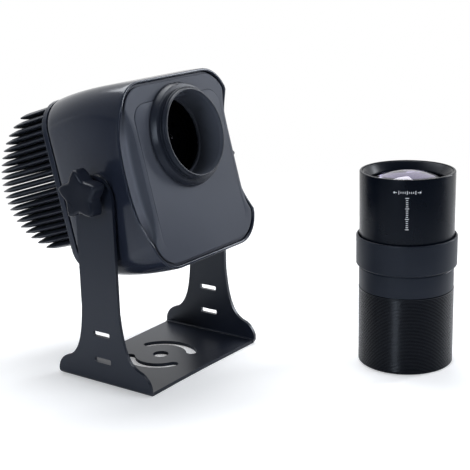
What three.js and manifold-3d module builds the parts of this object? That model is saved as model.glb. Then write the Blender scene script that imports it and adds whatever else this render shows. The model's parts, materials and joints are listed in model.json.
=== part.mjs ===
// A gobo projector: a finned LED head that tilts in a bent steel bracket, and its
// lens tube, taken off and standing beside it. Millimetres, +Z up, light leaves along -Y.

import * as THREE from 'three';
import { mergeVertices } from 'three/addons/utils/BufferGeometryUtils.js';
import Module from 'manifold-3d';

const wasm = await Module();
wasm.setup();

// Fits and fineness
const GAP = 0.3;
const OVERRUN = 1;
const WELD = 1e-4;
const ROUND_STEPS = 40;
const SMALL_STEPS = 20;
const CORNER_STEPS = 7;
const SIDE_STEPS = 14;
const FLAT_STEPS = 3;
const CURVE_STEPS = 8;
const COVE_STEPS = 4;
const CROWN_STEPS = 5;

// Bracket
const BRACKET_WIDTH = 150;
const BRACKET_DEPTH = 100;
const BRACKET_WAIST = 1;
const SHEET = 3;
const BEND_RADIUS = SHEET * 3 / 2;
const ARM_WIDTH = 40;
const FLARE_HEIGHT = 66;
const TOE_HEIGHT = 19;
const TOE_REACH = 9;
const TOE_BULGE = 3.5;
const HINGE_HEIGHT = 166.6;
const ARM_END = 13.4;
const ARM_TOP = HINGE_HEIGHT + ARM_END;
const BOLT_HOLE_RADIUS = 7;
const ARC_SLOT_RADIUS = 27.5;
const ARC_SLOT_WIDTH = 9.5;
const ARC_SLOT_ANGLE = THREE.MathUtils.degToRad(110);
const ARC_SLOT_TURN = THREE.MathUtils.degToRad(7);
const ARM_SLOT_LENGTH = 18;
const ARM_SLOT_HEIGHT = 4.4;
const ARM_SLOT_CORNER = 0.9;
const ARM_SLOT_LEVEL = 21.8;
const ARM_SLOT_SPACING = 23.1;
const ARM_SLOT_COUNT = 2;

// Head: half width, top, bottom and corner radius of its rounded sections
const HEAD_TILT = THREE.MathUtils.degToRad(14.3);
const FRONT_FACE = 44.8;
const FRONT_LIP = 45;
const REAR_EDGE = -48;
const HEAD_WALL = 2.4;
const HEAD_CLEARANCE = 5.6;
const MIDDLE_HALF_WIDTH = BRACKET_WIDTH / 2 - SHEET - HEAD_CLEARANCE;
const FRONT_FLARE = 3.9;
const FRONT_HALF_WIDTH = MIDDLE_HALF_WIDTH + FRONT_FLARE;
const FRONT_TOP = 77.5;
const FRONT_BOTTOM = -76;
const FRONT_RADIUS = 29;
const MIDDLE_TOP = 80.5;
const MIDDLE_BOTTOM = -76.5;
const MIDDLE_RADIUS = 22;
const REAR_TAPER = 6.1;
const REAR_HALF_WIDTH = MIDDLE_HALF_WIDTH - REAR_TAPER;
const REAR_TOP = 79;
const REAR_BOTTOM = -72;
const REAR_RADIUS = 26;

// Scoops in the sides of the head's front
const SCOOP_CENTRE = 3;
const SCOOP_HALF_HEIGHT = 54;
const SCOOP_DEPTH = 12;
const SCOOP_DIP_POWER = 2.6;
const SCOOP_WAIST_POWER = 6;
const COVE_WIDTH = 6.5;
const COVE_WALL_X = FRONT_HALF_WIDTH - COVE_WIDTH;
const BEVEL_WIDTH = 5.3;
const BEVEL_DEPTH = 2.6;

// Front cover
const COVER_GROOVE = 1.8;
const COVER_GROOVE_DEPTH = 2.4;
const COVER_EDGE = 0.4;
const COVER_WALL = 3;
const SKIRT_SHARE = 0.9;
const FIELD_MARGIN = 14.5;
const FIELD_HALF_WIDTH = FRONT_HALF_WIDTH - FIELD_MARGIN;
const FIELD_TOP = 59;
const FIELD_BOTTOM = -62;
const FIELD_RADIUS = 14;
const FIELD_RISE = 0.6;
const FIELD_SINK = 0.8;

// Lens socket, on the lens axis
const LENS_HEIGHT = 27.1;
const SPIGOT_RADIUS = 38;
const SPIGOT_WALL = 3.6;
const MOUTH_WALL = 2.9;
const MOUTH_RADIUS = SPIGOT_RADIUS - MOUTH_WALL;
const MOUTH_DEPTH = 3;
const SOCKET_MOUTH = 57.5;
const SOCKET_BORE = SPIGOT_RADIUS - SPIGOT_WALL;
const SOCKET_SHOULDER = 33;
const SHOULDER_WIDTH = 2;
const SHOULDER_BORE = SOCKET_BORE - SHOULDER_WIDTH;
const SOCKET_REAR = 31;
const SPIGOT_LEAD = 1.8;
const SPIGOT_GROOVE = 0.7;
const SPIGOT_GROOVE_BOTTOM = 53.2;
const SPIGOT_GROOVE_TOP = 54.4;
const DRUM_WIDTH = 5.4;
const DRUM_RADIUS = SPIGOT_RADIUS + DRUM_WIDTH;
const DRUM_TAPER = 2.1;
const DRUM_FACE_RADIUS = DRUM_RADIUS - DRUM_TAPER;
const DRUM_FACE = 51.7;
const NUT_WIDTH = 3.5;
const NUT_RADIUS = SPIGOT_RADIUS + NUT_WIDTH;
const NUT_THICKNESS = 4;

// Optics behind the socket
const OPTICS_FREEDOM = 0.8;
const OPTICS_WALL = 2.1;
const OPTICS_LEDGE = 2;
const OPTICS_RADIUS = SHOULDER_BORE - OPTICS_FREEDOM;
const OPTICS_BORE = OPTICS_RADIUS - OPTICS_WALL;
const OPTICS_SHOULDER = OPTICS_BORE - OPTICS_LEDGE;
const OPTICS_REAR = -12;
const GOBO_FACE = 24;
const GOBO_RADIUS = OPTICS_BORE - GAP;
const GOBO_THICKNESS = 1.1;
const GOBO_HOLE_RADIUS = 2.4;
const GOBO_RING_SPACING = 8;
const GOBO_RING_HOLES = [6, 10];
const CLIP_THICKNESS = 1.4;
const CLIP_WIDTH = 2.6;
const CLIP_BORE = GOBO_RADIUS - CLIP_WIDTH;
const CONDENSER_RADIUS = OPTICS_BORE - GAP;
const CONDENSER_FACE = 8;
const CONDENSER_EDGE = 3;
const CONDENSER_CROWN = 6;
const CONDENSER_RING_THICKNESS = 2.2;
const LENS_CLEAR_SHARE = 0.9;

// Light source, on the heatsink
const BOARD_SIZE = 54;
const BOARD_CORNER_SHARE = 0.12;
const BOARD_THICKNESS = 2;
const EMITTER_RADIUS = 13;
const EMITTER_THICKNESS = 1.6;
const REFLECTOR_SMALL = 15;
const REFLECTOR_LARGE = 26;
const REFLECTOR_WALL = 1.6;
const REFLECTOR_BRIM = 3;
const REFLECTOR_FLANGE = REFLECTOR_LARGE + REFLECTOR_BRIM;
const DRIVER_WIDTH = 84;
const DRIVER_FRONT = 20;
const DRIVER_THICKNESS = 1.6;
const DRIVER_CENTRE = -42;
// Width, depth, height and place of each block on the driver board, as shares of its width
const DRIVER_PART_SHARES = [
  [0.31, 0.24, 0.14, -0.3],
  [0.17, 0.29, 0.19, 0.08],
  [0.21, 0.17, 0.11, 0.34],
];

// Heatsink and rear frame
const FRAME_DEPTH = 5;
const FRAME_WALL = 3;
const SEAL_THICKNESS = 0.7;
const SEAL_INSET = 1.2;
const FLANGE_THICKNESS = 1.8;
const FLANGE_INSET = 1.2;
const FIN_COUNT = 21;
const FIN_PITCH = 5.85;
const FIN_MIDDLE = 14.9;
const FIN_ROOT = 4.6;
const FIN_TIP = 2.4;
const FIN_MARGIN = 3.5;
const FIN_HALF_WIDTH = REAR_HALF_WIDTH - FIN_MARGIN;
const FIN_SIDE_REACH = 102;
const FIN_CORNER = 0.2;
const FIN_ARC_RADIUS = FIN_HALF_WIDTH + FIN_CORNER;
const DOME_MIDDLE = 11.5;
const DOME_HALF_HEIGHT = 66;
const FIN_LEAST_REACH = 14;
const DOME_DEPTH = FIN_SIDE_REACH - FIN_LEAST_REACH;

// Rear screws and cable gland
const SCREW_RADIUS = 1.7;
const SCREW_HEAD_RADIUS = 3;
const SCREW_HEAD_HEIGHT = 2;
const SCREW_SOCKET_RADIUS = 1.2;
const SCREW_SOCKET_DEPTH = 1.2;
const SCREW_LENGTH = 9;
const SCREW_X = 30;
const REAR_ROW_HEIGHT = -57;
const GLAND_RADIUS = 5.6;
const GLAND_HEX_RADIUS = 7.8;
const GLAND_HEX_SIDES = 6;
const GLAND_HEX_LENGTH = 5;
const GLAND_NUT_LENGTH = 9;
const GLAND_BORE = 3;

// Hinge hardware
const STUD_RADIUS = 4;
const STUD_CLEARANCE = 0.5;
const BOSS_RADIUS = 13;
const BOSS_FLANGE_RADIUS = 17;
const BOSS_SETBACK = 3;
const BOSS_FLANGE_OUTER = MIDDLE_HALF_WIDTH - HEAD_WALL - BOSS_SETBACK;
const BOSS_FLANGE_THICKNESS = 2.5;
const BOSS_DEPTH = 5;
const BOSS_INNER = BOSS_FLANGE_OUTER - BOSS_DEPTH;
const WASHER_RADIUS = 12.5;
const WASHER_THICKNESS = 1;
const KNOB_RADIUS = 21;
const KNOB_VALLEY_RADIUS = 14.2;
const KNOB_LOBES = 5;
const KNOB_POINT_SHARE = 0.7;
const KNOB_LEAN = THREE.MathUtils.degToRad(7);
const KNOB_REACH = 19;
const KNOB_OUTER_X = BRACKET_WIDTH / 2 + KNOB_REACH;
const KNOB_HEAD_THICKNESS = 14;
const KNOB_BEVEL = 1.6;
const KNOB_HUB_RADIUS = 9.5;
const KNOB_STEPS = 40;

// Lens tube, standing on its threaded end
const TUBE_ASIDE = 38;
const TUBE_X = BRACKET_WIDTH / 2 + TUBE_ASIDE;
const TUBE_Y = -183.4;
const TUBE_BORE = SPIGOT_RADIUS + GAP;
const TUBE_WALL = 2.3;
const TUBE_RADIUS = TUBE_BORE + TUBE_WALL;
const TUBE_CHAMFER = 1;
const BAND_STEP = 0.3;
const BAND_RADIUS = TUBE_RADIUS - BAND_STEP;
const BAND_BOTTOM = 67;
const BAND_TOP = 87;
const BAND_GROOVE = 0.5;
const BAND_GROOVE_HEIGHT = 85;
const NECK_STEP = 0.5;
const NECK_RADIUS = TUBE_RADIUS - NECK_STEP;
const NECK_TOP = 94;
const COLLAR_WALL = 2.2;
const COLLAR_BORE = NECK_RADIUS + NECK_STEP;
const COLLAR_RADIUS = COLLAR_BORE + COLLAR_WALL;
const COLLAR_TOP = 113;
const FOCUS_RADIUS = NECK_RADIUS;
const FOCUS_BOTTOM = 98;
const FOCUS_TOP = 168;
const FOCUS_WALL = 2;
const FOCUS_SKIRT_BOTTOM = 72;
const WEB_BOTTOM = 101;
const WEB_TOP = 106;
const HELICOID_RADIUS = TUBE_BORE - GAP;
const HELICOID_WALL = 1.8;
const FOCUS_SKIRT_RADIUS = HELICOID_RADIUS - HELICOID_WALL - GAP;
const FOCUS_SKIRT_WALL = 2.5;
const HELICOID_BOTTOM = 74;
const HELICOID_TOP = 93;
const SLEEVE_RADIUS = FOCUS_SKIRT_RADIUS - FOCUS_SKIRT_WALL - GAP;
const SLEEVE_WALL = 2.5;
const SLEEVE_BORE = SLEEVE_RADIUS - SLEEVE_WALL;
const SLEEVE_BOTTOM = 58;
const SLEEVE_FLANGE = 2.9;
const SLEEVE_FLANGE_RADIUS = SLEEVE_RADIUS + SLEEVE_FLANGE;
const SLEEVE_FLANGE_THICKNESS = 2;
const SNAP_REACH = 2.4;
const SNAP_RADIUS = SLEEVE_RADIUS + SNAP_REACH;
const SNAP_THICKNESS = 1.5;
const SNAP_GROOVE = 0.8;
const LENS_SEAT = 153;
const LENS_LEDGE = 3.6;
const LENS_LEDGE_BORE = FOCUS_RADIUS - FOCUS_WALL - LENS_LEDGE;
const LENS_LEDGE_THICKNESS = 3;
const LENS_RADIUS = FOCUS_RADIUS - FOCUS_WALL - GAP;
const LENS_EDGE = 4;
const LENS_CROWN = 8;
const LENS_BACK_CROWN = 3;
const RETAINER_WIDTH = 6;
const RETAINER_INNER = LENS_RADIUS - RETAINER_WIDTH;
const RETAINER_FOOT = 2;
const RETAINER_RIM = 0.9;
const REAR_LENS_SEAT = 64;
const REAR_LENS_LEDGE = 2;
const REAR_LENS_EDGE = 3;
const REAR_LENS_CROWN = 5;

// Finishes: colour, roughness, metalness
const FINISHES = {
  coated_steel: [0x1b1e24, 0.55, 0.3],
  housing: [0x24272e, 0.6, 0.1],
  cover: [0x3a3d45, 0.6, 0.1],
  anodised: [0x15171a, 0.35, 0.7],
  cast_black: [0x0d0f14, 0.6, 0.4],
  knob: [0x1c1e24, 0.5, 0],
  steel: [0x9a9da2, 0.3, 1],
  rubber: [0x0b0b0c, 0.9, 0],
  glass: [0xb9c3d6, 0.05, 0],
  board: [0xd9dad6, 0.5, 0],
  emitter: [0xe8d27a, 0.6, 0],
  mirror: [0xd6d8db, 0.12, 1],
  brass: [0xb08d3c, 0.3, 1],
};

function material(name) {
  const [color, roughness, metalness] = FINISHES[name];
  return new THREE.MeshStandardMaterial({ name, color, roughness, metalness });
}

// Closed geometry with shared corners and no collapsed triangles, facing outwards
function weld(source) {
  const bare = source.clone();
  bare.deleteAttribute('normal');
  bare.deleteAttribute('uv');
  const merged = mergeVertices(bare, WELD);
  const index = merged.getIndex().array;
  const kept = [];
  for (let i = 0; i < index.length; i += 3) {
    const [a, b, c] = [index[i], index[i + 1], index[i + 2]];
    if (a !== b && b !== c && c !== a) kept.push(a, b, c);
  }
  if (signedVolume(merged.getAttribute('position'), kept) < 0) kept.reverse();
  merged.setIndex(kept);
  return merged;
}

function signedVolume(position, index) {
  const [a, b, c] = [new THREE.Vector3(), new THREE.Vector3(), new THREE.Vector3()];
  let sum = 0;
  for (let i = 0; i < index.length; i += 3) {
    a.fromBufferAttribute(position, index[i]);
    b.fromBufferAttribute(position, index[i + 1]);
    c.fromBufferAttribute(position, index[i + 2]);
    sum += a.dot(b.cross(c));
  }
  return sum;
}

function toManifold(geometry) {
  const welded = weld(geometry);
  const vertProperties = new Float32Array(welded.getAttribute('position').array);
  const triVerts = new Uint32Array(welded.getIndex().array);
  return new wasm.Manifold(new wasm.Mesh({ numProp: 3, vertProperties, triVerts }));
}

function toGeometry(manifold) {
  const mesh = manifold.getMesh();
  const geometry = new THREE.BufferGeometry();
  const positions = new Float32Array(mesh.vertProperties);
  geometry.setAttribute('position', new THREE.BufferAttribute(positions, 3));
  geometry.setIndex(Array.from(mesh.triVerts));
  return geometry;
}

function cut(base, tools) {
  return toGeometry(tools.reduce((body, tool) => body.subtract(toManifold(tool)), toManifold(base)));
}

function join(pieces) {
  return toGeometry(pieces.map(toManifold).reduce((body, piece) => body.add(piece)));
}

function common(pieces) {
  return toGeometry(pieces.map(toManifold).reduce((body, piece) => body.intersect(piece)));
}

// Revolved about Z. A profile is a list of [radius, height], closed on itself or along the axis
function revolve(profile, steps = ROUND_STEPS) {
  const points = profile.map(([radius, height]) => new THREE.Vector2(radius, height));
  if (profile[0][0] > 0) points.push(points[0].clone());
  return new THREE.LatheGeometry(points, steps).rotateX(Math.PI / 2);
}

function ring(inner, outer, bottom, top, steps = ROUND_STEPS) {
  return revolve([[inner, bottom], [outer, bottom], [outer, top], [inner, top]], steps);
}

function disc(radius, bottom, top, steps = ROUND_STEPS) {
  return revolve([[0, bottom], [radius, bottom], [radius, top], [0, top]], steps);
}

function block(width, depth, height, x, y, z) {
  return new THREE.BoxGeometry(width, depth, height).translate(x, y, z);
}

// Extruded along +Z between two heights
function prism(shape, bottom, top, curveSegments = CURVE_STEPS) {
  const options = { depth: top - bottom, bevelEnabled: false, curveSegments };
  return new THREE.ExtrudeGeometry(shape, options).translate(0, 0, bottom);
}

// Extruded along X: the shape's own X becomes Y, and its Y becomes Z
function crossPrism(shape, left, right, curveSegments = CURVE_STEPS) {
  return prism(shape, left, right, curveSegments).rotateX(Math.PI / 2).rotateZ(Math.PI / 2);
}

// Two-sided lens with a flat rim, crowned up by `crown` and down by `back`
function lens(radius, bottom, edge, crown, back, steps = ROUND_STEPS) {
  const clear = radius * LENS_CLEAR_SHARE;
  const profile = [[0, bottom - back]];
  for (let i = 1; i < CROWN_STEPS; i += 1) {
    const share = i / CROWN_STEPS;
    profile.push([clear * share, bottom - back * (1 - share * share)]);
  }
  profile.push([clear, bottom], [radius, bottom], [radius, bottom + edge], [clear, bottom + edge]);
  for (let i = CROWN_STEPS - 1; i > 0; i -= 1) {
    const share = i / CROWN_STEPS;
    profile.push([clear * share, bottom + edge + crown * (1 - share * share)]);
  }
  profile.push([0, bottom + edge + crown]);
  return revolve(profile, steps);
}

// Bracket: a U of sheet, trimmed to the arms' outline and pierced
function bracketSection() {
  const half = BRACKET_WIDTH / 2;
  const inner = half - SHEET;
  const innerBend = BEND_RADIUS - SHEET;
  const shape = new THREE.Shape();
  shape.moveTo(-half, ARM_TOP + OVERRUN);
  shape.lineTo(-half, BEND_RADIUS);
  shape.absarc(-half + BEND_RADIUS, BEND_RADIUS, BEND_RADIUS, Math.PI, Math.PI * 1.5, false);
  shape.lineTo(half - BEND_RADIUS, 0);
  shape.absarc(half - BEND_RADIUS, BEND_RADIUS, BEND_RADIUS, -Math.PI / 2, 0, false);
  shape.lineTo(half, ARM_TOP + OVERRUN);
  shape.lineTo(inner, ARM_TOP + OVERRUN);
  shape.lineTo(inner, BEND_RADIUS);
  shape.absarc(half - BEND_RADIUS, BEND_RADIUS, innerBend, 0, -Math.PI / 2, true);
  shape.lineTo(-half + BEND_RADIUS, SHEET);
  shape.absarc(-half + BEND_RADIUS, BEND_RADIUS, innerBend, Math.PI * 1.5, Math.PI, true);
  shape.lineTo(-inner, ARM_TOP + OVERRUN);
  return shape;
}

// Arm seen from the side, with rounded toes, flared feet and a round top
function armOutline() {
  const foot = BRACKET_DEPTH / 2;
  const half = ARM_WIDTH / 2;
  const knee = foot - TOE_REACH;
  const flare = knee - half;
  const rise = FLARE_HEIGHT - TOE_HEIGHT;
  const shape = new THREE.Shape();
  shape.moveTo(foot, -OVERRUN);
  shape.lineTo(foot, 0);
  shape.bezierCurveTo(
    foot + TOE_BULGE, TOE_HEIGHT / 3,
    foot - TOE_BULGE / 3, TOE_HEIGHT * 5 / 6,
    knee, TOE_HEIGHT,
  );
  shape.bezierCurveTo(
    half + flare / 4, TOE_HEIGHT + rise / 12,
    half + flare / 10, TOE_HEIGHT + rise / 2,
    half, FLARE_HEIGHT,
  );
  shape.lineTo(half, ARM_TOP - half);
  shape.absarc(0, ARM_TOP - half, half, 0, Math.PI, false);
  shape.lineTo(-half, FLARE_HEIGHT);
  shape.bezierCurveTo(
    -half - flare / 10, TOE_HEIGHT + rise / 2,
    -half - flare / 4, TOE_HEIGHT + rise / 12,
    -knee, TOE_HEIGHT,
  );
  shape.bezierCurveTo(
    -foot + TOE_BULGE / 3, TOE_HEIGHT * 5 / 6,
    -foot - TOE_BULGE, TOE_HEIGHT / 3,
    -foot, 0,
  );
  shape.lineTo(-foot, -OVERRUN);
  return shape;
}

function slotShape(length, height, corner) {
  const x = length / 2 - corner;
  const y = height / 2 - corner;
  const shape = new THREE.Shape();
  shape.absarc(x, -y, corner, -Math.PI / 2, 0, false);
  shape.absarc(x, y, corner, 0, Math.PI / 2, false);
  shape.absarc(-x, y, corner, Math.PI / 2, Math.PI, false);
  shape.absarc(-x, -y, corner, Math.PI, Math.PI * 1.5, false);
  return shape;
}

function arcSlotShape(middle) {
  const inner = ARC_SLOT_RADIUS - ARC_SLOT_WIDTH / 2;
  const outer = ARC_SLOT_RADIUS + ARC_SLOT_WIDTH / 2;
  const start = middle - ARC_SLOT_ANGLE / 2;
  const end = middle + ARC_SLOT_ANGLE / 2;
  const endX = ARC_SLOT_RADIUS * Math.cos(end);
  const endY = ARC_SLOT_RADIUS * Math.sin(end);
  const startX = ARC_SLOT_RADIUS * Math.cos(start);
  const startY = ARC_SLOT_RADIUS * Math.sin(start);
  const round = ARC_SLOT_WIDTH / 2;
  const shape = new THREE.Shape();
  shape.absarc(0, 0, outer, start, end, false);
  shape.absarc(endX, endY, round, end, end + Math.PI, false);
  shape.absarc(0, 0, inner, end, start, true);
  shape.absarc(startX, startY, round, start + Math.PI, start + Math.PI * 2, false);
  return shape;
}

// Shallow arc off the front or rear edge of the base plate, `side` is -1 or 1
function waistShape(side) {
  const half = BRACKET_WIDTH / 2 - BEND_RADIUS;
  const edge = BRACKET_DEPTH / 2;
  const shape = new THREE.Shape();
  shape.moveTo(-half, side * (edge + OVERRUN));
  shape.lineTo(-half, side * edge);
  shape.quadraticCurveTo(0, side * (edge - BRACKET_WAIST * 2), half, side * edge);
  shape.lineTo(half, side * (edge + OVERRUN));
  return shape;
}

function bracket() {
  const reach = BRACKET_DEPTH / 2 + TOE_BULGE;
  const width = BRACKET_WIDTH / 2 + OVERRUN;
  const folded = prism(bracketSection(), -reach, reach).rotateX(Math.PI / 2);
  const arms = crossPrism(armOutline(), -width, width, CURVE_STEPS * 2);
  const through = (shape) => prism(shape, -OVERRUN, SHEET + OVERRUN);
  const across = (shape, height) => crossPrism(shape, -width, width, FLAT_STEPS * 2).translate(0, 0, height);
  const pivot = new THREE.Shape().absarc(0, 0, STUD_RADIUS + STUD_CLEARANCE, 0, Math.PI * 2);
  const tools = [
    disc(BOLT_HOLE_RADIUS, -OVERRUN, SHEET + OVERRUN, SMALL_STEPS),
    through(arcSlotShape(ARC_SLOT_TURN)),
    through(arcSlotShape(ARC_SLOT_TURN + Math.PI)),
    through(waistShape(1)),
    through(waistShape(-1)),
    across(pivot, HINGE_HEIGHT),
  ];
  for (let i = 0; i < ARM_SLOT_COUNT; i += 1) {
    const height = ARM_SLOT_LEVEL + ARM_SLOT_SPACING * i;
    const slot = slotShape(ARM_SLOT_LENGTH, ARM_SLOT_HEIGHT, ARM_SLOT_CORNER);
    tools.push(across(slot, height));
  }
  return cut(common([folded, arms]), tools);
}

// Head sections: points round a rounded rectangle in X and Z, in the same order for every ring
function outline(halfWidth, top, bottom, radius) {
  const points = [];
  const flat = halfWidth - radius;
  const addLine = (x0, z0, x1, z1, steps) => {
    for (let i = 0; i < steps; i += 1) {
      const share = i / steps;
      points.push([x0 + (x1 - x0) * share, z0 + (z1 - z0) * share]);
    }
  };
  const addCorner = (x, z, start) => {
    for (let i = 0; i < CORNER_STEPS; i += 1) {
      const angle = start + (Math.PI / 2) * (i / CORNER_STEPS);
      points.push([x + radius * Math.cos(angle), z + radius * Math.sin(angle)]);
    }
  };
  addLine(halfWidth, bottom + radius, halfWidth, top - radius, SIDE_STEPS);
  addCorner(flat, top - radius, 0);
  addLine(flat, top, -flat, top, FLAT_STEPS);
  addCorner(-flat, top - radius, Math.PI / 2);
  addLine(-halfWidth, top - radius, -halfWidth, bottom + radius, SIDE_STEPS);
  addCorner(-flat, bottom + radius, Math.PI);
  addLine(-flat, bottom, flat, bottom, FLAT_STEPS);
  addCorner(flat, bottom + radius, Math.PI * 1.5);
  return points;
}

// Section of the head at a distance ahead of the hinge, by curves through rear, middle and front
function sectionAt(ahead) {
  const share = (ahead - REAR_EDGE) / (FRONT_LIP - REAR_EDGE);
  const through = (rear, middle, front) => {
    const bow = middle - (rear + front) / 2;
    return rear + (front - rear) * share + bow * 4 * share * (1 - share);
  };
  return {
    halfWidth: through(REAR_HALF_WIDTH, MIDDLE_HALF_WIDTH, FRONT_HALF_WIDTH),
    top: through(REAR_TOP, MIDDLE_TOP, FRONT_TOP),
    bottom: through(REAR_BOTTOM, MIDDLE_BOTTOM, FRONT_BOTTOM),
    radius: through(REAR_RADIUS, MIDDLE_RADIUS, FRONT_RADIUS),
  };
}

function insetSection(section, inset) {
  return outline(
    section.halfWidth - inset,
    section.top - inset,
    section.bottom + inset,
    section.radius - inset,
  );
}

// How far a height lies into the scoop: 1 at its middle, 0 beyond its ends
function scoopShare(height, power) {
  const reach = Math.abs(height - SCOOP_CENTRE) / SCOOP_HALF_HEIGHT;
  return reach < 1 ? 1 - reach ** power : 0;
}

// Closed surface through rings of equal length, the last joined to the first
function ringLoft(rings) {
  const count = rings[0].length;
  const geometry = new THREE.BufferGeometry();
  const indices = [];
  rings.forEach((points, i) => {
    const here = i * count;
    const next = ((i + 1) % rings.length) * count;
    for (let j = 0; j < count; j += 1) {
      const k = (j + 1) % count;
      indices.push(here + j, here + k, next + k, here + j, next + k, next + j);
    }
  });
  geometry.setAttribute('position', new THREE.Float32BufferAttribute(rings.flat(2), 3));
  geometry.setIndex(indices);
  return weld(geometry);
}

// Ring round the head at a share of its length, dipping back under the scoops
function skinRing(share, inset) {
  const ahead = REAR_EDGE + (FRONT_LIP - REAR_EDGE) * share;
  const dip = SCOOP_DEPTH * share;
  return insetSection(sectionAt(ahead), inset)
    .map(([x, z]) => [x, -(ahead - dip * scoopShare(z, SCOOP_DIP_POWER)), z]);
}

// Housing: a tapering tunnel whose front edge dips back along each side
function housing() {
  const stations = [0, 0.2, 0.4, 0.6, 0.8, 1];
  const outer = stations.map((share) => skinRing(share, 0));
  const inner = stations.map((share) => skinRing(share, HEAD_WALL)).reverse();
  const shell = ringLoft([...outer, ...inner]);
  const bores = [-1, 1].map((side) => disc(BOSS_RADIUS + GAP, 0, BRACKET_WIDTH / 2, SMALL_STEPS)
    .rotateY(side * Math.PI / 2));
  return cut(shell, bores);
}

// Front cover: a flat face with a grooved edge, and a bevel and cove sunk along each side
function cover() {
  const section = sectionAt(FRONT_LIP);
  const edge = HEAD_WALL + GAP;
  const face = edge + COVER_GROOVE;
  const sideX = section.halfWidth - edge;
  const coveWidth = sideX - COVE_WALL_X;
  const lipAhead = FRONT_LIP - SCOOP_DEPTH;
  const bevelFoot = FRONT_FACE - BEVEL_DEPTH;
  const coveHeight = bevelFoot - lipAhead;
  const grooveFloor = FRONT_FACE - COVER_GROOVE_DEPTH;
  const wallTop = FRONT_FACE - COVER_EDGE;
  const backX = COVE_WALL_X - COVER_WALL;
  const coveFloor = grooveFloor - COVER_WALL - COVER_GROOVE_DEPTH;
  const blend = (inset, ahead, sunkX, sunkAhead) => insetSection(section, inset).map(([x, z]) => {
    const narrow = scoopShare(z, SCOOP_WAIST_POWER);
    const dip = scoopShare(z, SCOOP_DIP_POWER);
    return [x + (Math.sign(x) * sunkX - x) * narrow, -(ahead + (sunkAhead - ahead) * dip), z];
  });
  const rings = [skinRing(SKIRT_SHARE, edge)];
  for (let i = 0; i <= COVE_STEPS; i += 1) {
    const turn = (Math.PI / 2) * (i / COVE_STEPS);
    const climb = Math.max(0, i - 1) / (COVE_STEPS - 1);
    rings.push(blend(
      i === 0 ? edge : face,
      grooveFloor + (wallTop - grooveFloor) * climb,
      sideX - coveWidth * Math.sin(turn),
      bevelFoot - coveHeight * Math.cos(turn),
    ));
  }
  rings.push(
    blend(face + COVER_EDGE, FRONT_FACE, COVE_WALL_X - BEVEL_WIDTH, FRONT_FACE),
    lensHoleRing(FRONT_FACE),
    lensHoleRing(FRONT_FACE - COVER_WALL),
    blend(face + COVER_WALL, FRONT_FACE - COVER_WALL, backX - BEVEL_DEPTH, FRONT_FACE - COVER_WALL),
    blend(edge + COVER_WALL, grooveFloor - COVER_WALL, backX, bevelFoot - COVER_WALL),
    blend(edge + COVER_WALL, grooveFloor - COVER_WALL * 3 / 2, backX, lipAhead + COVER_WALL),
    blend(edge + COVER_WALL, coveFloor, sideX - COVER_WALL, lipAhead - COVER_WALL),
    skinRing(SKIRT_SHARE, edge + COVER_WALL),
  );
  const bore = disc(SPIGOT_RADIUS + GAP, 0, FRONT_FACE * 2).rotateX(Math.PI / 2)
    .translate(0, 0, LENS_HEIGHT);
  return cut(join([ringLoft(rings), field()]), [bore]);
}

// Rough hole in the cover's panel, opened up to its true size afterwards
function lensHoleRing(ahead) {
  return insetSection(sectionAt(FRONT_LIP), HEAD_WALL).map(([x, z]) => {
    const angle = Math.atan2(z - LENS_HEIGHT, x);
    const radius = SPIGOT_RADIUS - OVERRUN;
    return [radius * Math.cos(angle), -ahead, LENS_HEIGHT + radius * Math.sin(angle)];
  });
}

// Raised field round the socket, whose rise fades out towards the bottom
function field() {
  const flat = FIELD_HALF_WIDTH - FIELD_RADIUS;
  const shape = new THREE.Shape();
  shape.moveTo(-FIELD_HALF_WIDTH, FIELD_BOTTOM);
  shape.lineTo(FIELD_HALF_WIDTH, FIELD_BOTTOM);
  shape.lineTo(FIELD_HALF_WIDTH, FIELD_TOP - FIELD_RADIUS);
  shape.absarc(flat, FIELD_TOP - FIELD_RADIUS, FIELD_RADIUS, 0, Math.PI / 2, false);
  shape.lineTo(-flat, FIELD_TOP);
  shape.absarc(-flat, FIELD_TOP - FIELD_RADIUS, FIELD_RADIUS, Math.PI / 2, Math.PI, false);
  const root = -COVER_WALL / 2;
  const plate = prism(shape, root, 0);
  const fall = (FIELD_RISE + FIELD_SINK) / (FIELD_TOP - FIELD_BOTTOM);
  const position = plate.getAttribute('position');
  for (let i = 0; i < position.count; i += 1) {
    const rise = FIELD_RISE - (FIELD_TOP - position.getY(i)) * fall;
    if (position.getZ(i) > root / 2) position.setZ(i, rise);
  }
  return plate.rotateX(Math.PI / 2).translate(0, -FRONT_FACE, 0);
}

// Lens socket: a tapered drum, and the spigot that the tube slips over
function socket() {
  const seat = FRONT_FACE + FIELD_RISE + GAP;
  return revolve([
    [SHOULDER_BORE, SOCKET_REAR],
    [SPIGOT_RADIUS, SOCKET_REAR],
    [SPIGOT_RADIUS, seat],
    [DRUM_RADIUS, seat],
    [DRUM_FACE_RADIUS, DRUM_FACE],
    [SPIGOT_RADIUS, DRUM_FACE],
    [SPIGOT_RADIUS, SPIGOT_GROOVE_BOTTOM],
    [SPIGOT_RADIUS - SPIGOT_GROOVE, SPIGOT_GROOVE_BOTTOM],
    [SPIGOT_RADIUS - SPIGOT_GROOVE, SPIGOT_GROOVE_TOP],
    [SPIGOT_RADIUS, SPIGOT_GROOVE_TOP],
    [SPIGOT_RADIUS, SOCKET_MOUTH - SPIGOT_LEAD],
    [SPIGOT_RADIUS - SPIGOT_LEAD, SOCKET_MOUTH],
    [MOUTH_RADIUS, SOCKET_MOUTH],
    [MOUTH_RADIUS, SOCKET_MOUTH - MOUTH_DEPTH],
    [SOCKET_BORE, SOCKET_MOUTH - MOUTH_DEPTH],
    [SOCKET_BORE, SOCKET_SHOULDER],
    [SHOULDER_BORE, SOCKET_SHOULDER],
  ]);
}

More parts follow.
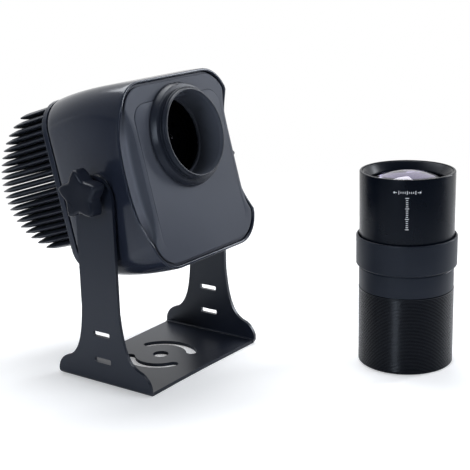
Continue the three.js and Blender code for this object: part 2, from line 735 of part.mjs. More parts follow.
function socketNut() {
  const top = FRONT_FACE - COVER_WALL - GAP;
  return ring(SPIGOT_RADIUS + GAP, NUT_RADIUS, top - NUT_THICKNESS, top);
}

// Optics barrel with a ledge for the gobo and another for the condenser
function opticsBarrel() {
  const front = SOCKET_REAR - GAP;
  const goboLedge = GOBO_FACE - GOBO_THICKNESS - GAP;
  const condenserLedge = CONDENSER_FACE + CONDENSER_EDGE + GAP;
  return revolve([
    [OPTICS_BORE, OPTICS_REAR],
    [OPTICS_RADIUS, OPTICS_REAR],
    [OPTICS_RADIUS, front],
    [OPTICS_BORE, front],
    [OPTICS_BORE, goboLedge],
    [OPTICS_SHOULDER, goboLedge],
    [OPTICS_SHOULDER, condenserLedge],
    [OPTICS_BORE, condenserLedge],
  ], SMALL_STEPS);
}

function gobo() {
  const bottom = GOBO_FACE - GOBO_THICKNESS;
  const holes = [];
  GOBO_RING_HOLES.forEach((count, i) => {
    const radius = GOBO_RING_SPACING * (i + 1);
    for (let k = 0; k < count; k += 1) {
      const angle = (Math.PI * 2 * k) / count;
      holes.push(disc(GOBO_HOLE_RADIUS, bottom - OVERRUN, GOBO_FACE + OVERRUN, CURVE_STEPS)
        .translate(radius * Math.cos(angle), radius * Math.sin(angle), 0));
    }
  });
  return cut(disc(GOBO_RADIUS, bottom, GOBO_FACE, SMALL_STEPS), holes);
}

function goboClip() {
  const bottom = GOBO_FACE + GAP;
  return ring(CLIP_BORE, GOBO_RADIUS, bottom, bottom + CLIP_THICKNESS, SMALL_STEPS);
}

function condenser() {
  const back = CONDENSER_CROWN / 2;
  return lens(CONDENSER_RADIUS, CONDENSER_FACE, CONDENSER_EDGE, CONDENSER_CROWN, back, SMALL_STEPS);
}

function condenserRing() {
  const top = CONDENSER_FACE - GAP;
  return ring(OPTICS_SHOULDER, CONDENSER_RADIUS, top - CONDENSER_RING_THICKNESS, top, SMALL_STEPS);
}

// Light source
const BASE_FRONT = REAR_EDGE - SEAL_THICKNESS - GAP * 2;
const FLANGE_FRONT = BASE_FRONT - FRAME_DEPTH - GAP;
const BASE_REAR = FLANGE_FRONT - FLANGE_THICKNESS;
const BOARD_FRONT = BASE_FRONT + GAP + BOARD_THICKNESS;
const EMITTER_FRONT = BOARD_FRONT + GAP + EMITTER_THICKNESS;

function ledBoard() {
  const half = BOARD_SIZE / 2;
  const bevel = BOARD_SIZE * BOARD_CORNER_SHARE;
  const shape = new THREE.Shape();
  shape.moveTo(-half + bevel, -half);
  shape.lineTo(half - bevel, -half);
  shape.lineTo(half, -half + bevel);
  shape.lineTo(half, half - bevel);
  shape.lineTo(half - bevel, half);
  shape.lineTo(-half + bevel, half);
  shape.lineTo(-half, half - bevel);
  shape.lineTo(-half, -half + bevel);
  return prism(shape, BOARD_FRONT - BOARD_THICKNESS, BOARD_FRONT);
}

function ledEmitter() {
  return disc(EMITTER_RADIUS, EMITTER_FRONT - EMITTER_THICKNESS, EMITTER_FRONT, SMALL_STEPS);
}

function reflector() {
  const bottom = BOARD_FRONT + GAP;
  const top = OPTICS_REAR - GAP;
  const lip = top - REFLECTOR_WALL;
  const flareAt = (share) => REFLECTOR_SMALL + (REFLECTOR_LARGE - REFLECTOR_SMALL) * Math.sqrt(share);
  const profile = [[REFLECTOR_SMALL, bottom], [REFLECTOR_SMALL + REFLECTOR_WALL, bottom]];
  for (let i = 1; i <= CROWN_STEPS; i += 1) {
    const share = i / CROWN_STEPS;
    profile.push([flareAt(share) + REFLECTOR_WALL, bottom + (lip - bottom) * share]);
  }
  profile.push([REFLECTOR_FLANGE, lip], [REFLECTOR_FLANGE, top], [REFLECTOR_LARGE, top]);
  for (let i = CROWN_STEPS - 1; i > 0; i -= 1) {
    const share = i / CROWN_STEPS;
    profile.push([flareAt(share), bottom + (lip - bottom) * share]);
  }
  return revolve(profile, SMALL_STEPS);
}

function driverBoard() {
  const length = DRIVER_FRONT - BASE_FRONT;
  const middle = -(DRIVER_FRONT - length / 2);
  const board = block(DRIVER_WIDTH, length, DRIVER_THICKNESS, 0, middle, 0);
  const parts = DRIVER_PART_SHARES.map(([width, depth, height, place]) => block(
    DRIVER_WIDTH * width,
    DRIVER_WIDTH * depth,
    DRIVER_WIDTH * height,
    DRIVER_WIDTH * place,
    middle + length * place / 2,
    DRIVER_WIDTH * height / 2,
  ));
  return join([board, ...parts]);
}

// Rear frame, seal and heatsink
const FRAME_SECTION = {
  halfWidth: REAR_HALF_WIDTH, top: REAR_TOP, bottom: REAR_BOTTOM, radius: REAR_RADIUS,
};

function band(outerInset, innerInset, ahead, depth) {
  const put = (inset, y) => insetSection(FRAME_SECTION, inset).map(([x, z]) => [x, -y, z]);
  const rear = ahead - depth;
  return ringLoft([put(outerInset, ahead), put(outerInset, rear), put(innerInset, rear), put(innerInset, ahead)]);
}

function rearSeal() {
  return band(SEAL_INSET, FRAME_WALL, REAR_EDGE - GAP, SEAL_THICKNESS);
}

function rearFrame() {
  return band(0, FRAME_WALL, BASE_FRONT, FRAME_DEPTH);
}

// Half width of the heatsink's flange at a height, with its rounded corners
function flangeHalfWidth(height) {
  const { halfWidth, top, bottom, radius } = FRAME_SECTION;
  const into = Math.max(0, height - (top - radius), bottom + radius - height);
  return halfWidth - radius + Math.sqrt((radius - FLANGE_INSET) ** 2 - into ** 2);
}

// One fin: straight sides and a round end, thick at its root and thin at its tip
function fin(height) {
  const offCentre = (height - DOME_MIDDLE) / DOME_HALF_HEIGHT;
  const side = FIN_SIDE_REACH - DOME_DEPTH * (1 - Math.sqrt(1 - offCentre ** 2));
  const outward = height + Math.sign(offCentre) * FIN_ROOT / 2;
  const half = Math.min(FIN_HALF_WIDTH, flangeHalfWidth(outward));
  const root = -BASE_REAR - FLANGE_THICKNESS / 2;
  const turn = Math.acos(half / FIN_ARC_RADIUS);
  const shape = new THREE.Shape();
  shape.moveTo(-half, root);
  shape.lineTo(half, root);
  shape.absarc(0, side, FIN_ARC_RADIUS, turn, Math.PI - turn, false);
  const plate = prism(shape, -FIN_ROOT, FIN_ROOT);
  const position = plate.getAttribute('position');
  const length = side + FIN_ARC_RADIUS - root;
  for (let i = 0; i < position.count; i += 1) {
    const out = (position.getY(i) - root) / length;
    const thickness = FIN_ROOT + (FIN_TIP - FIN_ROOT) * out;
    position.setZ(i, height + Math.sign(position.getZ(i)) * thickness / 2);
  }
  return plate;
}

function heatsink() {
  const plate = (inset, rear, front) => {
    const points = insetSection(FRAME_SECTION, inset).map(([x, z]) => new THREE.Vector2(x, z));
    return prism(new THREE.Shape(points), rear, front).rotateX(Math.PI / 2);
  };
  const base = plate(FRAME_WALL + GAP, BASE_REAR, BASE_FRONT - GAP);
  const flange = plate(FLANGE_INSET, BASE_REAR, FLANGE_FRONT);
  const fins = [];
  for (let i = 0; i < FIN_COUNT; i += 1) {
    fins.push(fin(FIN_MIDDLE + (i - (FIN_COUNT - 1) / 2) * FIN_PITCH));
  }
  const through = (radius, x) => disc(radius + GAP, 0, FIN_SIDE_REACH, SMALL_STEPS)
    .rotateX(-Math.PI / 2).translate(x, 0, REAR_ROW_HEIGHT);
  const holes = [through(SCREW_RADIUS, -SCREW_X), through(SCREW_RADIUS, SCREW_X), through(GLAND_RADIUS, 0)];
  return cut(join([base, flange, ...fins]), holes);
}

// Cap screw along Y: its head stands on the plane y = 0
function capScrew() {
  return revolve([
    [0, -SCREW_LENGTH],
    [SCREW_RADIUS, -SCREW_LENGTH],
    [SCREW_RADIUS, 0],
    [SCREW_HEAD_RADIUS, 0],
    [SCREW_HEAD_RADIUS, SCREW_HEAD_HEIGHT],
    [SCREW_SOCKET_RADIUS, SCREW_HEAD_HEIGHT],
    [SCREW_SOCKET_RADIUS, SCREW_HEAD_HEIGHT - SCREW_SOCKET_DEPTH],
    [0, SCREW_HEAD_HEIGHT - SCREW_SOCKET_DEPTH],
  ], CURVE_STEPS * 2).rotateX(-Math.PI / 2);
}

function glandBody() {
  const rear = -BASE_REAR + GAP;
  const end = rear + GLAND_HEX_LENGTH;
  const inner = -BASE_FRONT + GAP;
  const shank = disc(GLAND_RADIUS, inner, rear + GLAND_HEX_LENGTH / 2, SMALL_STEPS);
  const hex = disc(GLAND_HEX_RADIUS, rear, end, GLAND_HEX_SIDES);
  const bore = disc(GLAND_BORE, inner - OVERRUN, end + OVERRUN, SMALL_STEPS);
  return cut(join([shank, hex]), [bore]).rotateX(-Math.PI / 2);
}

function glandNut() {
  const start = -BASE_REAR + GAP * 2 + GLAND_HEX_LENGTH;
  const end = start + GLAND_NUT_LENGTH;
  const shoulder = end - GLAND_NUT_LENGTH / 3;
  return revolve([
    [GLAND_BORE, start],
    [GLAND_HEX_RADIUS - OVERRUN, start],
    [GLAND_HEX_RADIUS - OVERRUN, shoulder],
    [GLAND_RADIUS, end],
    [GLAND_BORE, end],
  ], CURVE_STEPS * 2).rotateX(-Math.PI / 2);
}

// Hinge hardware, built along +X and turned round for the other side
const ARM_INNER = BRACKET_WIDTH / 2 - SHEET;
const BOSS_OUTER = ARM_INNER - GAP * 2 - WASHER_THICKNESS;
const KNOB_SEAT = BRACKET_WIDTH / 2 + GAP * 2 + WASHER_THICKNESS;

function alongX(geometry) {
  return geometry.rotateY(Math.PI / 2);
}

function hingeBoss() {
  const bore = STUD_RADIUS + GAP;
  return alongX(revolve([
    [bore, BOSS_INNER],
    [BOSS_RADIUS, BOSS_INNER],
    [BOSS_RADIUS, BOSS_FLANGE_OUTER - BOSS_FLANGE_THICKNESS],
    [BOSS_FLANGE_RADIUS, BOSS_FLANGE_OUTER - BOSS_FLANGE_THICKNESS],
    [BOSS_FLANGE_RADIUS, BOSS_FLANGE_OUTER],
    [BOSS_RADIUS, BOSS_FLANGE_OUTER],
    [BOSS_RADIUS, BOSS_OUTER],
    [bore, BOSS_OUTER],
  ], SMALL_STEPS));
}

function frictionWasher() {
  const start = BOSS_OUTER + GAP;
  return alongX(ring(STUD_RADIUS + GAP, WASHER_RADIUS, start, start + WASHER_THICKNESS, SMALL_STEPS));
}

function knobWasher() {
  const start = BRACKET_WIDTH / 2 + GAP;
  return alongX(ring(STUD_RADIUS + GAP, KNOB_HUB_RADIUS, start, start + WASHER_THICKNESS, SMALL_STEPS));
}

// Star with pointed lobes and hollow sides, before its bevel is added
function knobShape() {
  const depth = KNOB_RADIUS - KNOB_VALLEY_RADIUS;
  const points = [];
  for (let i = 0; i < KNOB_STEPS; i += 1) {
    const angle = (Math.PI * 2 * i) / KNOB_STEPS;
    const off = Math.abs(Math.sin((KNOB_LOBES * angle) / 2));
    const fall = off * KNOB_POINT_SHARE + off ** 2 * (1 - KNOB_POINT_SHARE);
    const radius = KNOB_RADIUS - KNOB_BEVEL - depth * fall;
    const turned = angle + Math.PI + KNOB_LEAN;
    points.push(new THREE.Vector2(radius * Math.cos(turned), radius * Math.sin(turned)));
  }
  return new THREE.Shape(points);
}

function knob() {
  const inner = KNOB_OUTER_X - KNOB_HEAD_THICKNESS;
  const options = {
    depth: KNOB_HEAD_THICKNESS - KNOB_BEVEL * 2,
    bevelThickness: KNOB_BEVEL,
    bevelSize: KNOB_BEVEL,
    bevelSegments: 2,
  };
  const head = new THREE.ExtrudeGeometry(knobShape(), options).translate(0, 0, inner + KNOB_BEVEL);
  const hub = disc(KNOB_HUB_RADIUS, KNOB_SEAT, inner + KNOB_BEVEL * 2, SMALL_STEPS);
  const bore = disc(STUD_RADIUS + GAP, KNOB_SEAT - OVERRUN, inner + KNOB_BEVEL * 3, SMALL_STEPS);
  return alongX(cut(join([head, hub]), [bore]));
}

function stud() {
  const end = KNOB_OUTER_X - KNOB_HEAD_THICKNESS + KNOB_BEVEL * 3 - GAP;
  return alongX(disc(STUD_RADIUS, BOSS_INNER, end, SMALL_STEPS));
}

// Lens tube, from the floor up
function tubeBarrel() {
  return revolve([
    [TUBE_BORE, 0],
    [TUBE_RADIUS - TUBE_CHAMFER, 0],
    [TUBE_RADIUS, TUBE_CHAMFER],
    [TUBE_RADIUS, BAND_BOTTOM],
    [BAND_RADIUS, BAND_BOTTOM],
    [BAND_RADIUS, BAND_GROOVE_HEIGHT],
    [BAND_RADIUS - BAND_GROOVE, BAND_GROOVE_HEIGHT + BAND_GROOVE],
    [BAND_RADIUS, BAND_GROOVE_HEIGHT + BAND_GROOVE * 2],
    [BAND_RADIUS, BAND_TOP - GAP],
    [NECK_RADIUS, BAND_TOP - GAP],
    [NECK_RADIUS, NECK_TOP],
    [TUBE_BORE, NECK_TOP],
  ]);
}

function tubeCollar() {
  return revolve([
    [COLLAR_BORE, BAND_TOP],
    [COLLAR_RADIUS - TUBE_CHAMFER, BAND_TOP],
    [COLLAR_RADIUS, BAND_TOP + TUBE_CHAMFER],
    [COLLAR_RADIUS, COLLAR_TOP - TUBE_CHAMFER],
    [COLLAR_RADIUS - TUBE_CHAMFER, COLLAR_TOP],
    [COLLAR_BORE, COLLAR_TOP],
  ]);
}

function helicoidRing() {
  return ring(FOCUS_SKIRT_RADIUS + GAP, HELICOID_RADIUS, HELICOID_BOTTOM, HELICOID_TOP);
}

// Focus barrel: outer skin with a lens ledge, a web, and the skirt that turns in the helicoid ring
function focusBarrel() {
  const inner = FOCUS_RADIUS - FOCUS_WALL;
  const skirtBore = FOCUS_SKIRT_RADIUS - FOCUS_SKIRT_WALL;
  const ledge = LENS_SEAT - LENS_LEDGE_THICKNESS;
  return revolve([
    [inner, FOCUS_BOTTOM],
    [FOCUS_RADIUS, FOCUS_BOTTOM],
    [FOCUS_RADIUS, FOCUS_TOP - TUBE_CHAMFER],
    [FOCUS_RADIUS - TUBE_CHAMFER, FOCUS_TOP],
    [inner, FOCUS_TOP],
    [inner, LENS_SEAT],
    [LENS_LEDGE_BORE, LENS_SEAT],
    [LENS_LEDGE_BORE, ledge],
    [inner, ledge - LENS_LEDGE_THICKNESS],
    [inner, WEB_TOP],
    [skirtBore, WEB_TOP],
    [skirtBore, FOCUS_SKIRT_BOTTOM],
    [FOCUS_SKIRT_RADIUS, FOCUS_SKIRT_BOTTOM],
    [FOCUS_SKIRT_RADIUS, WEB_BOTTOM],
    [inner, WEB_BOTTOM],
  ]);
}

// Sleeve that carries the rear lens, flanged above the web and grooved for the snap ring
function guideSleeve() {
  const grooveTop = FOCUS_SKIRT_BOTTOM - GAP;
  const grooveBottom = grooveTop - SNAP_THICKNESS - GAP;
  const flange = WEB_TOP + GAP;
  return revolve([
    [SLEEVE_BORE - REAR_LENS_LEDGE, SLEEVE_BOTTOM],
    [SLEEVE_RADIUS, SLEEVE_BOTTOM],
    [SLEEVE_RADIUS, grooveBottom],
    [SLEEVE_RADIUS - SNAP_GROOVE, grooveBottom],
    [SLEEVE_RADIUS - SNAP_GROOVE, grooveTop],
    [SLEEVE_RADIUS, grooveTop],
    [SLEEVE_RADIUS, flange],
    [SLEEVE_FLANGE_RADIUS, flange],
    [SLEEVE_FLANGE_RADIUS, flange + SLEEVE_FLANGE_THICKNESS],
    [SLEEVE_BORE, flange + SLEEVE_FLANGE_THICKNESS],
    [SLEEVE_BORE, REAR_LENS_SEAT],
    [SLEEVE_BORE - REAR_LENS_LEDGE, REAR_LENS_SEAT],
  ], SMALL_STEPS);
}

function snapRing() {
  const top = FOCUS_SKIRT_BOTTOM - GAP - GAP / 2;
  const bore = SLEEVE_RADIUS - SNAP_GROOVE + GAP;
  return ring(bore, SNAP_RADIUS, top - SNAP_THICKNESS, top, SMALL_STEPS);
}

function frontLens() {
  return lens(LENS_RADIUS, LENS_SEAT + GAP, LENS_EDGE, LENS_CROWN, LENS_BACK_CROWN);
}

// Wide tapered ring that holds the front lens down
function lensRetainer() {
  const bottom = LENS_SEAT + GAP * 2 + LENS_EDGE;
  const outer = FOCUS_RADIUS - FOCUS_WALL - GAP;
  const top = FOCUS_TOP - GAP * 2;
  const foot = bottom + RETAINER_FOOT;
  return revolve([
    [RETAINER_INNER + RETAINER_FOOT, bottom],
    [outer, bottom],
    [outer, top],
    [outer - RETAINER_RIM, top],
    [RETAINER_INNER, foot + LENS_CROWN / 2],
    [RETAINER_INNER, foot],
  ]);
}

function rearLens() {
  const seat = REAR_LENS_SEAT + GAP;
  return lens(SLEEVE_BORE - GAP, seat, REAR_LENS_EDGE, REAR_LENS_CROWN, 0, SMALL_STEPS);
}

// Assembly
function add(parent, name, finish, geometry) {
  const mesh = new THREE.Mesh(geometry, material(finish));
  mesh.name = name;
  parent.add(mesh);
  return mesh;
}

function group(parent, x, y, z) {
  const made = new THREE.Group();
  made.position.set(x, y, z);
  parent.add(made);
  return made;
}

const projector = new THREE.Group();
const assembly = group(projector, 0, 0, 0);

add(assembly, 'yoke_bracket', 'coated_steel', bracket());

const hinge = group(assembly, 0, 0, HINGE_HEIGHT);
const head = group(hinge, 0, 0, 0);
head.rotation.x = -HEAD_TILT;
[['left', Math.PI], ['right', 0]].forEach(([side, turn]) => {
  const clamp = group(hinge, 0, 0, 0);
  clamp.rotation.z = turn;
  add(clamp, `knob_${side}`, 'knob', knob());
  add(clamp, `knob_stud_${side}`, 'steel', stud());
  add(clamp, `knob_washer_${side}`, 'steel', knobWasher());
  const boss = group(head, 0, 0, 0);
  boss.rotation.z = turn;
  add(boss, `hinge_boss_${side}`, 'steel', hingeBoss());
  add(boss, `friction_washer_${side}`, 'rubber', frictionWasher());
});

add(head, 'housing_shell', 'housing', housing());
add(head, 'front_cover', 'cover', cover());
add(head, 'rear_seal', 'rubber', rearSeal());
add(head, 'rear_frame', 'housing', rearFrame());
add(head, 'heatsink', 'cast_black', heatsink());
add(head, 'driver_board', 'board', driverBoard()).position.z = DRIVER_CENTRE;

const rearRow = group(head, 0, 0, REAR_ROW_HEIGHT);
add(rearRow, 'cable_gland', 'knob', glandBody());
add(rearRow, 'cable_gland_nut', 'knob', glandNut());
add(rearRow, 'rear_screw_left', 'steel', capScrew()).position.set(-SCREW_X, -BASE_REAR + GAP, 0);
add(rearRow, 'rear_screw_right', 'steel', capScrew()).position.set(SCREW_X, -BASE_REAR + GAP, 0);

const optics = group(head, 0, 0, LENS_HEIGHT);
optics.rotation.x = Math.PI / 2;
add(optics, 'lens_socket', 'anodised', socket());
add(optics, 'socket_nut', 'anodised', socketNut());
add(optics, 'optics_barrel', 'anodised', opticsBarrel());
add(optics, 'gobo_clip', 'steel', goboClip());
add(optics, 'gobo_disc', 'steel', gobo());
add(optics, 'condenser_lens', 'glass', condenser());
add(optics, 'condenser_ring', 'anodised', condenserRing());
add(optics, 'led_reflector', 'mirror', reflector());
add(optics, 'led_emitter', 'emitter', ledEmitter());
add(optics, 'led_board', 'board', ledBoard());

const tube = group(assembly, TUBE_X, TUBE_Y, 0);
add(tube, 'tube_barrel', 'anodised', tubeBarrel());
add(tube, 'tube_collar', 'anodised', tubeCollar());
add(tube, 'helicoid_ring', 'brass', helicoidRing());
add(tube, 'focus_barrel', 'anodised', focusBarrel());
add(tube, 'front_lens', 'glass', frontLens());
add(tube, 'lens_retainer', 'anodised', lensRetainer());
add(tube, 'guide_sleeve', 'anodised', guideSleeve());
add(tube, 'snap_ring', 'steel', snapRing());
add(tube, 'rear_lens', 'glass', rearLens());

// Origin: on the floor, under the middle of the whole object
projector.updateMatrixWorld(true);
const bounds = new THREE.Box3().setFromObject(projector, true);
const centre = bounds.getCenter(new THREE.Vector3());
assembly.position.set(-centre.x, -centre.y, -bounds.min.z);
projector.updateMatrixWorld(true);

export default projector;
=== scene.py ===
import json
import math

import bmesh
import bpy
import numpy as np
from mathutils import Matrix, Vector

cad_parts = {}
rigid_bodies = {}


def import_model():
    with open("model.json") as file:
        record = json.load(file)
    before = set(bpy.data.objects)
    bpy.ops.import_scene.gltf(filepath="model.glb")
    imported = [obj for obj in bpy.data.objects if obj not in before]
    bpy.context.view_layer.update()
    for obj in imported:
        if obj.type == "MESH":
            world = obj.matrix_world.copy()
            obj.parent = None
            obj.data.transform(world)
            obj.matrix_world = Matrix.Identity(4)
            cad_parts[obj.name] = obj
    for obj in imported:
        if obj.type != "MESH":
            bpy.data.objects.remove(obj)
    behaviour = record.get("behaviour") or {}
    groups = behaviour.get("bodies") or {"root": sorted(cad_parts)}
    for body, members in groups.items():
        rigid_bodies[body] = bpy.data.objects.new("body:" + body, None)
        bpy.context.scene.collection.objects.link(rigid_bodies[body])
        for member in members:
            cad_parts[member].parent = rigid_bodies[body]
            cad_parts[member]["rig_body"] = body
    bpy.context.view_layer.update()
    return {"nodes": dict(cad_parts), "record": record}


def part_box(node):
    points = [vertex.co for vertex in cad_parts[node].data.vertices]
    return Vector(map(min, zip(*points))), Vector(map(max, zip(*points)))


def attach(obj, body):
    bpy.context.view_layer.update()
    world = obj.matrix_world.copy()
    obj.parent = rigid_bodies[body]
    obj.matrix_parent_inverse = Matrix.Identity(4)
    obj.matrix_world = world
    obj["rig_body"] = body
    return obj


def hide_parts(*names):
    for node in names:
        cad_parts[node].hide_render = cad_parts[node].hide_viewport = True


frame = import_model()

MM = 0.001

# Sizes of the head in millimetres, as in the part's source. A section of the head is half its width,
# its top, its bottom and the radius of its corners
TILT = math.radians(14.3)
HINGE_HEIGHT = 166.6
FRONT_FACE, FRONT_LIP, REAR_EDGE = 44.8, 45.0, -48.0
HEAD_WALL, GAP = 2.4, 0.3
REAR_SECTION = (60.3, 79.0, -72.0, 26.0)
MIDDLE_SECTION = (66.4, 80.5, -76.5, 22.0)
FRONT_SECTION = (70.3, 77.5, -76.0, 29.0)
SECTION_STEPS_SIDE, SECTION_STEPS_CORNER, SECTION_STEPS_FLAT, SECTION_MIN_RADIUS = 48, 12, 8, 0.2
SCOOP_CENTRE, SCOOP_HALF_HEIGHT, SCOOP_DEPTH = 3.0, 54.0, 12.0
SCOOP_DIP_POWER, SCOOP_WAIST_POWER = 2.6, 6.0
LENS_HEIGHT, SPIGOT_RADIUS = 27.1, 38.0

# The camera, in metres. The marks on the tube face it
CAMERA_PLACE = (-0.7581, -0.5814, 0.3741)
CAMERA_RIGHT, CAMERA_UP = (0.5828, -0.8122, -0.0262), (0.2318, 0.1353, 0.9632)
CAMERA_BACK = (-0.7788, -0.5675, 0.2672)
CAMERA_LENS, CAMERA_SENSOR, CAMERA_CLIP = 87.39, 36.0, (0.01, 50)

bracket_low, bracket_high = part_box("yoke_bracket")
tube_low, tube_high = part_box("tube_barrel")
HINGE = Vector(((bracket_low.x + bracket_high.x) / 2, (bracket_low.y + bracket_high.y) / 2,
                HINGE_HEIGHT * MM))
TUBE = Vector(((tube_low.x + tube_high.x) / 2, (tube_low.y + tube_high.y) / 2, 0))


# Places: each takes millimetres and gives metres in the shared frame, and off_head does the reverse
def on_head(x, ahead, z):
    c, s = math.cos(TILT), math.sin(TILT)
    return HINGE + MM * Vector((x, -ahead * c + z * s, ahead * s + z * c))


def off_head(place):
    c, s = math.cos(TILT), math.sin(TILT)
    x, y, z = (place - HINGE) / MM
    return x, -y * c + z * s, y * s + z * c


def on_lens_axis(x, y, height):
    return on_head(x, height, y + LENS_HEIGHT)


def on_tube(x, y, z):
    return TUBE + MM * Vector((x, y, z))


# Nodes. A value that is fed to a socket is another node's output or a plain one
def node(tree, kind, **values):
    made = tree.nodes.new(kind)
    for key, value in values.items():
        setattr(made, key, value)
    return made


def feed(tree, socket, value):
    if isinstance(value, bpy.types.NodeSocket):
        tree.links.new(value, socket)
    else:
        socket.default_value = value


def maths(tree, operation, *values):
    made = node(tree, "ShaderNodeMath", operation=operation)
    for socket, value in zip(made.inputs, values):
        feed(tree, socket, value)
    return made.outputs[0]


def dot(tree, place, direction):
    made = node(tree, "ShaderNodeVectorMath", operation="DOT_PRODUCT")
    feed(tree, made.inputs[0], place)
    feed(tree, made.inputs[1], direction)
    return made.outputs["Value"]


def ranged(tree, value, span, to_span=(0, 1)):
    made = node(tree, "ShaderNodeMapRange")
    feed(tree, made.inputs["Value"], value)
    for key, number in zip(("From Min", "From Max", "To Min", "To Max"), (*span, *to_span)):
        made.inputs[key].default_value = number
    return made.outputs["Result"]


def noise(tree, coords, scale, detail, stretch=None):
    if stretch:
        mapping = node(tree, "ShaderNodeMapping")
        mapping.inputs["Scale"].default_value = stretch
        tree.links.new(coords, mapping.inputs["Vector"])
        coords = mapping.outputs["Vector"]
    made = node(tree, "ShaderNodeTexNoise")
    made.inputs["Scale"].default_value = scale
    made.inputs["Detail"].default_value = detail
    tree.links.new(coords, made.inputs["Vector"])
    return made.outputs["Fac"]


def mixed(tree, factor, a, b):
    made = node(tree, "ShaderNodeMix", data_type="RGBA")
    tree.links.new(factor, made.inputs["Factor"])
    for key, value in (("A", a), ("B", b)):
        socket = [i for i in made.inputs if i.name == key and i.type == "RGBA"][0]
        feed(tree, socket, (*value, 1) if isinstance(value, tuple) else value)
    return [o for o in made.outputs if o.type == "RGBA"][0]


def mixed_shaders(tree, factor, a, b):
    made = node(tree, "ShaderNodeMixShader")
    for socket, value in zip(made.inputs, (factor, a, b)):
        tree.links.new(value, socket)
    return made.outputs[0]


def emission(tree, strength):
    made = node(tree, "ShaderNodeEmission")
    feed(tree, made.inputs["Strength"], strength)
    return made.outputs[0]


def object_coords(tree):
    return node(tree, "ShaderNodeTexCoord").outputs["Object"]


def new_material(name):
    made = bpy.data.materials.new(name)
    made.use_nodes = True
    return made, made.node_tree, made.node_tree.nodes["Principled BSDF"]


def surface(tree, shader):
    tree.links.new(shader, tree.nodes["Material Output"].inputs["Surface"])


# Materials. Noises are given by their scale and detail, and spans of noise by what counts as low and high
RELIEF_DISTANCE = 0.0002
BLUISH = (0.82, 0.89, 1.0, 1)
BLOTCH_SCALE, BLOTCH_DETAIL, GRAIN_DETAIL = 28, 4, 2
TONE_SPAN, GLOSS_SPAN = (0.3, 0.7), (0.25, 0.75)
LINES_SCALE, LINES_DETAIL, LINES_STRETCH = 6, 3, (0, 0, 260)


def bumped(tree, height, strength, normal=None):
    made = node(tree, "ShaderNodeBump")
    made.inputs["Strength"].default_value = strength
    made.inputs["Distance"].default_value = RELIEF_DISTANCE
    tree.links.new(height, made.inputs["Height"])
    if normal:
        tree.links.new(normal, made.inputs["Normal"])
    return made.outputs["Normal"]


def finish(name, color, roughness, metallic=0.0, specular=0.5, spread=0.06, vary=0.25,
           grain=1400, bump=0.15, lines=0.0):
    """A surface with blotches of tone and of gloss, fine grain in its relief, and turned lines if asked.

    vary is how much the tone varies and spread how much the roughness does, grain and bump are the scale
    and the strength of the grain, and lines is the strength of the turned lines.
    """
    made, tree, shader = new_material(name)
    coords = object_coords(tree)
    blotch = noise(tree, coords, BLOTCH_SCALE, BLOTCH_DETAIL)
    dark = tuple(c * (1 - vary) for c in color)
    light = tuple(c * (1 + vary) for c in color)
    tone = mixed(tree, ranged(tree, blotch, TONE_SPAN), dark, light)
    tree.links.new(tone, shader.inputs["Base Color"])
    gloss = ranged(tree, blotch, GLOSS_SPAN, (roughness - spread, roughness + spread))
    tree.links.new(gloss, shader.inputs["Roughness"])
    shader.inputs["Metallic"].default_value = metallic
    shader.inputs["Specular IOR Level"].default_value = specular
    if not metallic:
        shader.inputs["Specular Tint"].default_value = BLUISH
    relief = bumped(tree, noise(tree, coords, grain, GRAIN_DETAIL), bump)
    if lines:
        turned = noise(tree, coords, LINES_SCALE, LINES_DETAIL, LINES_STRETCH)
        relief = bumped(tree, turned, lines, relief)
    tree.links.new(relief, shader.inputs["Normal"])
    return made


GLASS_ROUGHNESS, GLASS_IOR, GLASS_SPECULAR = 0.01, 1.52, 0.2
FILM_ROUGHNESS, FILM_SCALE, FILM_DETAIL, FILM_SPAN = 0.03, 18, 1, (0.35, 0.65)
RIM_BLEND, RIM_GAIN = 0.35, 2.6


def coated_glass(name, color, tint, share):
    """Clear glass with a coloured coating that mirrors this share of the light, and more at its rim."""
    made, tree, glass = new_material(name)
    for key, value in (("Base Color", (*color, 1)), ("Roughness", GLASS_ROUGHNESS), ("IOR", GLASS_IOR),
                       ("Specular IOR Level", GLASS_SPECULAR), ("Transmission Weight", 1)):
        glass.inputs[key].default_value = value
    film = node(tree, "ShaderNodeBsdfAnisotropic")
    film.inputs["Roughness"].default_value = FILM_ROUGHNESS
    clouds = ranged(tree, noise(tree, object_coords(tree), FILM_SCALE, FILM_DETAIL), FILM_SPAN)
    paler = tuple(math.sqrt(c) for c in tint)
    tree.links.new(mixed(tree, clouds, tint, paler), film.inputs["Color"])
    rim = node(tree, "ShaderNodeLayerWeight")
    rim.inputs["Blend"].default_value = RIM_BLEND
    factor = ranged(tree, rim.outputs["Facing"], (0, 1), (share, share * RIM_GAIN))
    surface(tree, mixed_shaders(tree, factor, glass.outputs[0], film.outputs[0]))
    return made


# Painted light on the scoops' floor, a lighter tone of the cover's paint. In metres: where it starts beside
# the head's middle, and where it fades out above and below the scoops' centre and ahead of the hinge
COVE_PAINTED_LIGHT = (0.12, 0.13, 0.16)
COVE_START_BESIDE = (0.0602, 0.0616)
COVE_FADE_HEIGHT, COVE_FADE_AHEAD = (0.028, 0.05), (0.036, 0.04)


